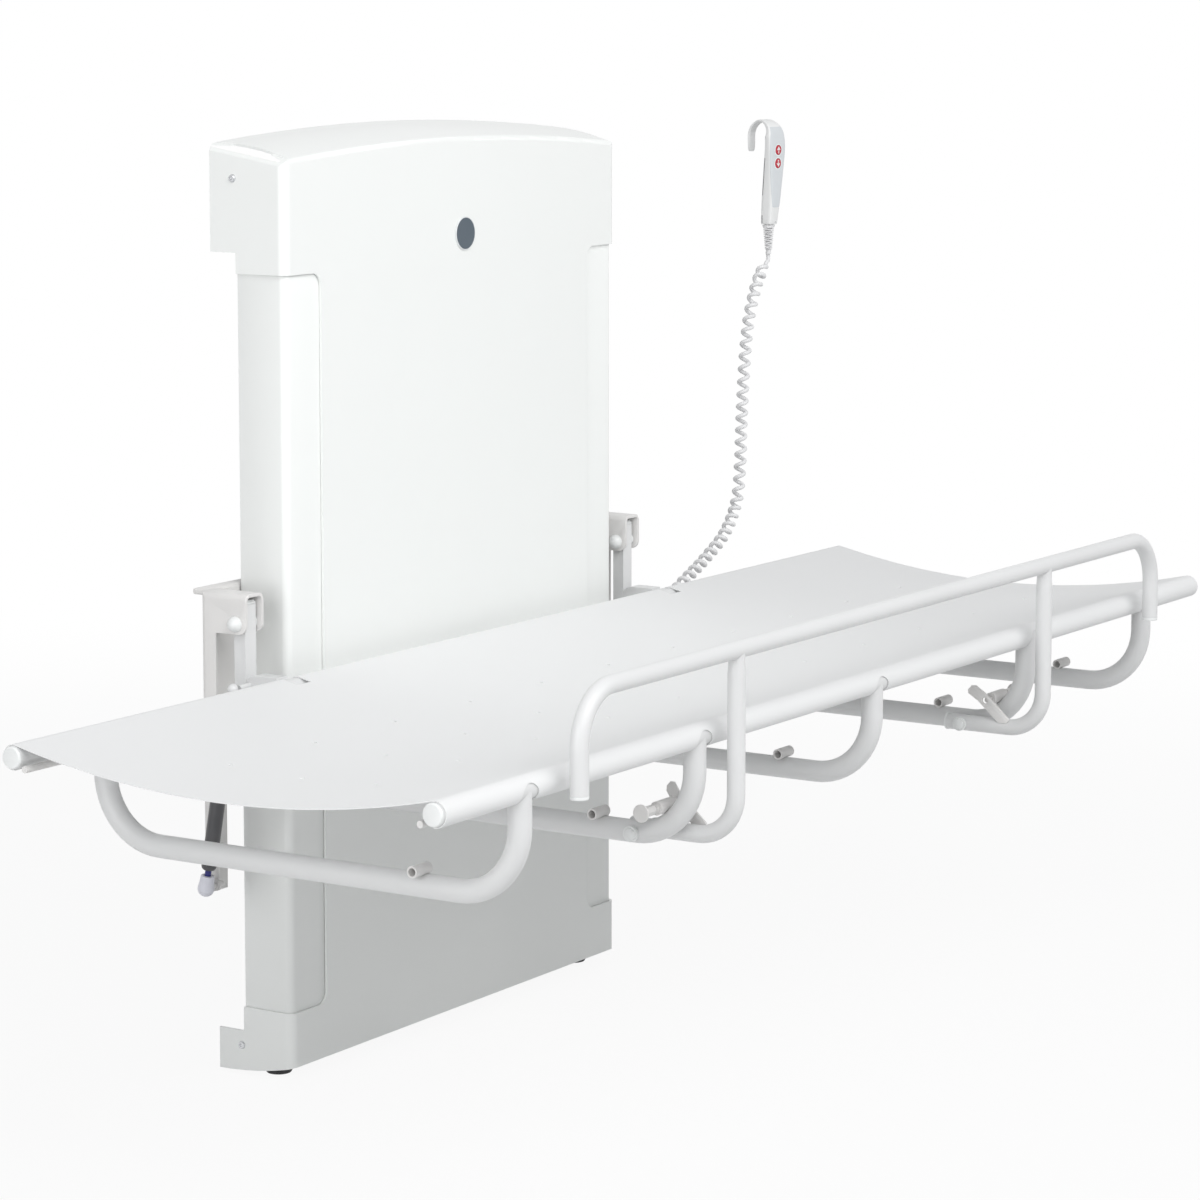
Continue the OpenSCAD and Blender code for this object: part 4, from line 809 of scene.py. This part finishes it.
def domed_cap(name, at, side, r, rim, dome_r, dome_h):
    """A pressed-on cap: a ring with a rounded rim and a dome inside it."""
    base = rim - CAP_STEP
    dome = [(base + dome_h * math.sin(math.radians(a)), dome_r * math.cos(math.radians(a)))
            for a in range(0, 90, 9)]
    return lathe(name, [(0, 0), (0, r), (rim - 0.0008, r)] + round_off(rim - 0.0008, r, 0.0008, -0.0007)
                 + dome + [(base + dome_h, 0)], at, (side, 0, 0), 44)


def hinge_caps(side):
    return [domed_cap("pin_cap", (side * x, HINGE_Y, HINGE_Z), facing, *PIN_CAP)
            for x, facing in ((EAR_OUT, side), (EAR_IN, -side))]


def hinge_pin(side):
    return [lathe("pin", [(0, 0), (0, HINGE_PIN_R), (HINGE_PIN_LEN, HINGE_PIN_R), (HINGE_PIN_LEN, 0)],
                  (side * (EAR_IN - 0.0005), HINGE_Y, HINGE_Z), (side, 0, 0), 32)]


def hinge_washers(side):
    gaps = ((EAR_IN + PLATE + HINGE_PLAY, ARM_X - ARM_W / 2),
            (ARM_X + ARM_W / 2, EAR_OUT - PLATE - HINGE_PLAY))
    return [lathe("washer", [(0, WASHER_BORE), (0, WASHER_R), (b - a, WASHER_R), (b - a, WASHER_BORE)],
                  (side * a, HINGE_Y, HINGE_Z), (side, 0, 0), closed=True) for a, b in gaps]


for node, make in (("pin_caps", hinge_caps), ("hinge_pins", hinge_pin), ("hinge_bushes", hinge_washers)):
    fit_for(node, together(node + "_turned", *both(make)))


# Guard rail: latch plungers, caps of the pivot bolts and catch plates

LATCH_Y, LATCH_Z, PIVOT_Y, PIVOT_Z = -0.6919, -0.1719, -0.656, -0.206
# Distance from the middle and radius along the plunger: tip, shaft, collar, shaft, neck in the sleeve
SHAFT = [(0.3909, 0), (0.3916, 0.0018), (0.3929, 0.003), (0.4082, 0.003), (0.4082, 0.0056),
         (0.411, 0.0056), (0.411, 0.003), (0.4422, 0.003), (0.4422, 0.0052), (0.4466, 0.0052),
         (0.447, 0.0048), (0.447, 0.0034), (0.4500, 0.0034), (0.4500, 0)]
HEX_NECK, HEX_R = (0.4495, 0.4736), 0.0064
TRIM_X, TRIM_Y, TRIM_Z = (0.370, 0.400), (-0.76, -0.68), (-0.23, -0.1997)
KNOB_IN, KNOB_OUT, KNOB_R = 0.4734, 0.4755, 0.0106


def make_plunger(side, word):
    """A spring plunger: shaft and collar in the sleeve, a hexagon neck and a thin flat knob outside it."""
    at = (0, LATCH_Y, LATCH_Z)
    shaft = lathe("shaft", SHAFT, at, (side, 0, 0), 36)
    neck = prisms("neck", [circle(LATCH_Y, LATCH_Z, HEX_R, 6)], "x", *span(side, *HEX_NECK))
    round_edges(neck, 0.0004)
    knob = lathe("knob", [(KNOB_IN, 0), (KNOB_IN, 0.0100)] + round_off(KNOB_IN, 0.0100, 0.0007, 0.0006, 3)
                 + [(0.4748, KNOB_R), (KNOB_OUT, 0.0100), (KNOB_OUT, 0)], at, (side, 0, 0), 48)
    node = "plunger_" + word
    for piece in (together(node + "_turned", shaft, knob), neck):
        fit_for(node, piece)


def pivot_caps(side):
    return [domed_cap("bolt_cap", (side * 0.43745, PIVOT_Y, PIVOT_Z), side, 0.0095, 0.0048, 0.0074, 0.0036),
            domed_cap("bolt_cap", (side * 0.38635, PIVOT_Y, PIVOT_Z), -side, 0.0095, 0.0040, 0.0074, 0.0034)]


def catch_trim(side):
    """Cuts a catch plate off at the top of the leg tube."""
    return [prisms("trim", [oblong(*TRIM_Y, *TRIM_Z)], "x", *span(side, *TRIM_X))]


make_plunger(-1, "left")
make_plunger(1, "right")
fit_for("bolt_caps", together("bolt_caps_turned", *both(pivot_caps)))
softened("catch_plates", PLATE_EDGE, tools=[together("catch_trim", *both(catch_trim))])


# Softened copies of other nodes: edge width in metres and steps

CAD_ARM_X, CAD_ARM_W = 0.428, 0.024
EDGES = {
    "carriage_beam": (0.0028, 3), "latch_sleeves": (0.0007, 2), "stub_tubes": (0.0005, 2),
    "tube_plugs": (0.0008, 2), "rail_end_caps": (0.0007, 2), "side_panel_left": (0.0010, 2),
    "side_panel_right": (0.0010, 2), "badge_ring": (0.0006, 2), "cover_screws": (0.0003, 2),
    "levelling_feet": (0.0014, 2), "control_box": (0.0016, 2), "wall_plates": (0.0006, 1),
}


def to_arm(p):
    """Moves a point of the CAD arm to the arm's place and width in the photo."""
    return Vector((math.copysign(ARM_X + (abs(p.x) - CAD_ARM_X) * ARM_W / CAD_ARM_W, p.x), p.y, p.z))


for node, width in (("hinge_arms", 0.0024), ("arm_caps", 0.0012)):
    softened(node, width, 3, reshape=to_arm)
for node, (width, steps) in EDGES.items():
    softened(node, width, steps)


# Shader helpers

def feed(tree, socket, value):
    """Links a socket to another one, or gives it a plain value."""
    if hasattr(value, "is_output"):
        tree.links.new(value, socket)
    else:
        socket.default_value = value


def node_with(tree, kind, **values):
    """A shader node whose named sockets are fed."""
    n = tree.nodes.new(kind)
    for label, value in values.items():
        feed(tree, n.inputs[label.replace("_", " ")], value)
    return n


def calc(tree, operation, *values):
    n = tree.nodes.new("ShaderNodeMath")
    n.operation = operation
    for socket, value in zip(n.inputs, values):
        feed(tree, socket, value)
    return n.outputs[0]


def object_place(tree):
    return tree.nodes.new("ShaderNodeTexCoord").outputs["Object"]


def noise(tree, scale, detail):
    n = node_with(tree, "ShaderNodeTexNoise", Vector=object_place(tree), Scale=scale, Detail=detail)
    return n.outputs["Fac"]


def remap(tree, source, lo, hi, from_lo=0.3, from_hi=0.7, kind="LINEAR"):
    n = node_with(tree, "ShaderNodeMapRange", Value=source, From_Min=from_lo, From_Max=from_hi,
                  To_Min=lo, To_Max=hi)
    n.interpolation_type = kind
    return n.outputs["Result"]


def blend_colour(tree, share, a, b):
    n = tree.nodes.new("ShaderNodeMix")
    n.data_type = "RGBA"
    for label, value in (("Factor", share), ("A", a), ("B", b)):
        feed(tree, n.inputs[label], value)
    return n.outputs["Result"]


def bump(tree, distance, strength, height):
    n = node_with(tree, "ShaderNodeBump", Distance=distance, Strength=strength, Height=height)
    return n.outputs["Normal"]


def new_group(name, colours, numbers):
    """A node group with colour and number inputs that gives a colour, a roughness and a normal."""
    g = bpy.data.node_groups.new(name, "ShaderNodeTree")
    for kind, inputs in (("NodeSocketColor", colours), ("NodeSocketFloat", numbers)):
        for label in inputs:
            g.interface.new_socket(label, in_out="INPUT", socket_type=kind)
    for label, kind in (("Color", "Color"), ("Roughness", "Float"), ("Normal", "Vector")):
        g.interface.new_socket(label, in_out="OUTPUT", socket_type="NodeSocket" + kind)
    return g, g.nodes.new("NodeGroupInput").outputs, g.nodes.new("NodeGroupOutput").inputs


def coating_group():
    """Sprayed or moulded skin: a slow tone drift, a roughness drift and a fine raised grain."""
    g, given, out = new_group("skin_finish", ("Tone", "Shade Tone"),
                              ("Drift Scale", "Rough Low", "Rough High", "Grain Scale", "Grain Depth"))
    drift = noise(g, given["Drift Scale"], 3.0)
    feed(g, out["Color"], blend_colour(g, remap(g, drift, 0.0, 1.0), given["Tone"], given["Shade Tone"]))
    feed(g, out["Roughness"], remap(g, drift, given["Rough Low"], given["Rough High"]))
    feed(g, out["Normal"], bump(g, 0.0004, given["Grain Depth"], noise(g, given["Grain Scale"], 2.0)))
    return g


def weave_group():
    """Plain weave under a thin coating: crossed threads as height, and the colour painted darker in the
    hollows as painted shade, with a faint random drift.
    """
    g, given, out = new_group("coated_weave", ("Tone", "Hollow Tone"), ("Threads per Metre", "Depth"))
    place = g.nodes.new("ShaderNodeSeparateXYZ")
    feed(g, place.inputs["Vector"], object_place(g))
    waves = []
    for axis in ("X", "Y"):
        threads = calc(g, "MULTIPLY", place.outputs[axis], given["Threads per Metre"])
        waves.append(calc(g, "SINE", calc(g, "MULTIPLY", threads, 2 * math.pi)))
    height = remap(g, calc(g, "MULTIPLY", *waves), 0.0, 1.0, -1.0, 1.0)
    drift = noise(g, 4.0, 3.0)
    # Painted shade: the lower the threads, the nearer the colour goes to the hollow shade tone; the noise
    # adds a random drift.
    share = calc(g, "MULTIPLY_ADD", drift, 0.5, calc(g, "MULTIPLY", height, 0.5))
    feed(g, out["Color"], blend_colour(g, share, given["Hollow Tone"], given["Tone"]))
    feed(g, out["Roughness"], remap(g, drift, 0.5, 0.62))
    feed(g, out["Normal"], bump(g, 0.0002, given["Depth"], height))
    return g


skin_finish = coating_group()
coated_weave = weave_group()


# Materials

def shader_material(name):
    mat = bpy.data.materials.new(name)
    mat.use_nodes = True
    return mat, mat.node_tree, mat.node_tree.nodes["Principled BSDF"]


def finished(name, group, values):
    """A material whose colour, roughness and normal come from a shared group."""
    mat, tree, bsdf = shader_material(name)
    g = tree.nodes.new("ShaderNodeGroup")
    g.node_tree = group
    for label, value in values.items():
        g.inputs[label].default_value = value
    for label, target in (("Color", "Base Color"), ("Roughness", "Roughness"), ("Normal", "Normal")):
        tree.links.new(g.outputs[label], bsdf.inputs[target])
    return mat, bsdf


def skin(name, tone, shade, rough, grain, depth, drift, metal=0.0):
    mat, bsdf = finished(name, skin_finish, {
        "Tone": (*tone, 1), "Shade Tone": (*shade, 1), "Rough Low": rough[0], "Rough High": rough[1],
        "Grain Scale": grain, "Grain Depth": depth, "Drift Scale": drift})
    bsdf.inputs["Metallic"].default_value = metal
    return mat


def weave(name, tone, hollow, threads, depth):
    mat, bsdf = finished(name, coated_weave, {
        "Tone": (*tone, 1), "Hollow Tone": (*hollow, 1), "Threads per Metre": threads, "Depth": depth})
    bsdf.inputs["Specular IOR Level"].default_value = 0.35
    return mat


lavender = skin("socket_plastic", (0.72, 0.725, 0.79), (0.70, 0.705, 0.77), (0.3, 0.4), 1500, 0.04, 40)
finishes = {
    "cover_white": skin("cover_satin", (0.88, 0.895, 0.88), (0.87, 0.885, 0.87), (0.3, 0.36),
                        1400, 0.03, 2.5),
    "tube_white": skin("tube_powder_coat", (0.735, 0.74, 0.74), (0.715, 0.72, 0.72), (0.34, 0.42),
                       1100, 0.09, 5),
    "warm_grey": skin("bracket_powder_coat", (0.75, 0.74, 0.728), (0.725, 0.715, 0.703), (0.38, 0.46),
                      1100, 0.09, 8),
    "cap_white": skin("cap_plastic", (0.82, 0.835, 0.83), (0.805, 0.82, 0.815), (0.26, 0.34), 1600, 0.03, 20),
    "zinc": skin("zinc_plate", (0.62, 0.63, 0.64), (0.5, 0.52, 0.54), (0.3, 0.5), 260, 0.12, 30, 0.9),
    "screw_steel": skin("bright_steel", (0.66, 0.67, 0.68), (0.56, 0.57, 0.59), (0.2, 0.34),
                        600, 0.06, 60, 1.0),
    # The second colour is the painted shade in the hollows of the weave.
    "mat_fabric": weave("mat_coated_mesh", (0.83, 0.835, 0.835), (0.8, 0.805, 0.805), 700, 0.12),
    "foot_rubber": skin("foot_rubber", (0.03, 0.03, 0.032), (0.02, 0.02, 0.022), (0.6, 0.75), 900, 0.2, 40),
    "motor_black": skin("motor_casing", (0.04, 0.04, 0.044), (0.028, 0.028, 0.032), (0.45, 0.6),
                        700, 0.15, 30),
    "box_grey": skin("control_casing", (0.16, 0.165, 0.18), (0.13, 0.135, 0.15), (0.45, 0.6), 700, 0.15, 30),
    "bronze": skin("nut_bronze", (0.5, 0.36, 0.17), (0.42, 0.29, 0.13), (0.25, 0.4), 500, 0.08, 50, 1.0),
    "badge_slate": skin("badge_slate", (0.085, 0.11, 0.135), (0.075, 0.1, 0.125), (0.4, 0.5), 1500, 0.05, 30),
    "badge_rim": skin("badge_rim", (0.8, 0.82, 0.83), (0.76, 0.78, 0.79), (0.25, 0.35), 1500, 0.03, 40),
    "cord_white": skin("cord_jacket", (0.8, 0.8, 0.805), (0.76, 0.76, 0.765), (0.36, 0.46), 1600, 0.06, 30),
    "handset_white": skin("handset_shell", (0.845, 0.85, 0.845), (0.825, 0.83, 0.825), (0.42, 0.5),
                          1800, 0.1, 25),
    "overlay_grey": skin("keypad_film", (0.68, 0.71, 0.73), (0.66, 0.69, 0.71), (0.3, 0.38), 2200, 0.06, 25),
    "button_red": skin("button_red", (0.5, 0.02, 0.045), (0.46, 0.018, 0.04), (0.35, 0.45), 1500, 0.05, 60),
    "gas_grey": skin("cylinder_paint", (0.07, 0.07, 0.075), (0.06, 0.06, 0.065), (0.3, 0.42), 1200, 0.06, 25),
    "gas_rod_navy": skin("rod_navy", (0.012, 0.014, 0.17), (0.01, 0.012, 0.15), (0.25, 0.35), 900, 0.04, 60),
}


def print_key_rings(mat):
    """A pale printed ring round each key, over the film's own skin."""
    tree = mat.node_tree
    base = tree.nodes["Principled BSDF"].inputs["Base Color"]
    spot = object_place(tree)
    away = []
    for place in BUTTON_PLACES:
        n = tree.nodes.new("ShaderNodeVectorMath")
        n.operation = "DISTANCE"
        feed(tree, n.inputs[0], spot)
        feed(tree, n.inputs[1], HAND_TURN @ place)
        away.append(n.outputs["Value"])
    ring = remap(tree, calc(tree, "MINIMUM", *away), 1.0, 0.0, 0.0090, 0.0096)
    feed(tree, base, blend_colour(tree, ring, base.links[0].from_socket, (0.80, 0.88, 0.88, 1)))


print_key_rings(finishes["overlay_grey"])


def dress(obj, mat):
    obj.data.materials.clear()
    obj.data.materials.append(mat)


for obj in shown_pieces():
    dress(obj, finishes[obj["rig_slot"] if "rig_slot" in obj else slot_of[obj.name]])
for name, obj in nodes.items():
    dress(obj, finishes[slot_of[name]])
for socket, eye in gas_ends:
    dress(socket, lavender)
    dress(eye, finishes["tube_white"])
dress(nodes["upper_studs"], finishes["tube_white"])
dress(nodes["lower_studs"], finishes["warm_grey"])


# Light, floor, backdrop

WHITE = (1, 1, 1, 1)
ROOM_TINT, ROOM_STRENGTH = (0.97, 0.98, 1.0, 1), 0.42
FLOOR_HALF, FLOOR_TONE = 30, (0.72, 0.72, 0.72, 1)
FADE_NEAR, FADE_FAR, GLOW_NEAR = 1.6, 3.6, 0.92
# Name, place, aim, size in metres and power in watts
LAMPS = (("key_above", (-1.7, -3.0, 3.0), (0, -0.3, 0), (3.6, 2.8), 101),
         ("fill_left", (-4.4, -0.4, 0.6), (0, -0.2, -0.1), (2.6, 2.6), 54),
         ("fill_front", (1.0, -4.4, 2.6), (0, 0, 0), (3.0, 2.4), 48))


def area_light(name, place, aim, size, power):
    data = bpy.data.lights.new(name, "AREA")
    data.shape = "RECTANGLE"
    data.size, data.size_y = size
    data.energy = power
    lamp = placed(name, data)
    lamp.location = place
    lamp.rotation_euler = (Vector(aim) - Vector(place)).to_track_quat("-Z", "Y").to_euler()


def backdrop_rays(tree):
    """1 for the rays that look at the backdrop: straight, mirrored or through glass."""
    path = tree.nodes.new("ShaderNodeLightPath")
    seen = path.outputs["Is Camera Ray"]
    for label in ("Is Glossy Ray", "Is Transmission Ray"):
        seen = calc(tree, "MAXIMUM", seen, path.outputs[label])
    return seen


def mix_shaders(tree, share, first, second, end):
    """Joins two shader nodes by a share and leads them to the surface of the output node."""
    mix = tree.nodes.new("ShaderNodeMixShader")
    for socket, source in zip(mix.inputs, (share, first.outputs[0], second.outputs[0])):
        tree.links.new(source, socket)
    tree.links.new(mix.outputs[0], end.inputs["Surface"])


def white_world():
    """Soft room light for the object, and plain white where the backdrop is looked at."""
    world = bpy.data.worlds.new("studio")
    bpy.context.scene.world = world
    world.use_nodes = True
    tree = world.node_tree
    tree.nodes.clear()
    room = node_with(tree, "ShaderNodeBackground", Color=ROOM_TINT, Strength=ROOM_STRENGTH)
    backdrop = node_with(tree, "ShaderNodeBackground", Color=WHITE, Strength=1.0)
    mix_shaders(tree, backdrop_rays(tree), room, backdrop, tree.nodes.new("ShaderNodeOutputWorld"))


def make_floor():
    """Pale floor: it keeps the shadow near the object and fades to the white backdrop further out."""
    corners = [(x, y, FLOOR) for x, y in oblong(-FLOOR_HALF, FLOOR_HALF, -FLOOR_HALF, FLOOR_HALF)]
    floor = piece_from("studio_floor", corners, [(0, 1, 2, 3)], smooth=False)
    mat, tree, bsdf = shader_material("studio_floor")
    for label, value in (("Base Color", FLOOR_TONE), ("Roughness", 0.9), ("Specular IOR Level", 0.1)):
        bsdf.inputs[label].default_value = value
    away = tree.nodes.new("ShaderNodeVectorMath")
    away.operation = "LENGTH"
    feed(tree, away.inputs[0], object_place(tree))
    fade = remap(tree, away.outputs["Value"], GLOW_NEAR, 1.0, FADE_NEAR, FADE_FAR, "SMOOTHSTEP")
    glow = node_with(tree, "ShaderNodeEmission", Color=WHITE)
    share = calc(tree, "MULTIPLY", backdrop_rays(tree), fade)
    mix_shaders(tree, share, bsdf, glow, tree.nodes["Material Output"])
    dress(floor, mat)


white_world()
make_floor()
for lamp in LAMPS:
    area_light(*lamp)
bpy.context.scene.view_settings.view_transform = "Standard"
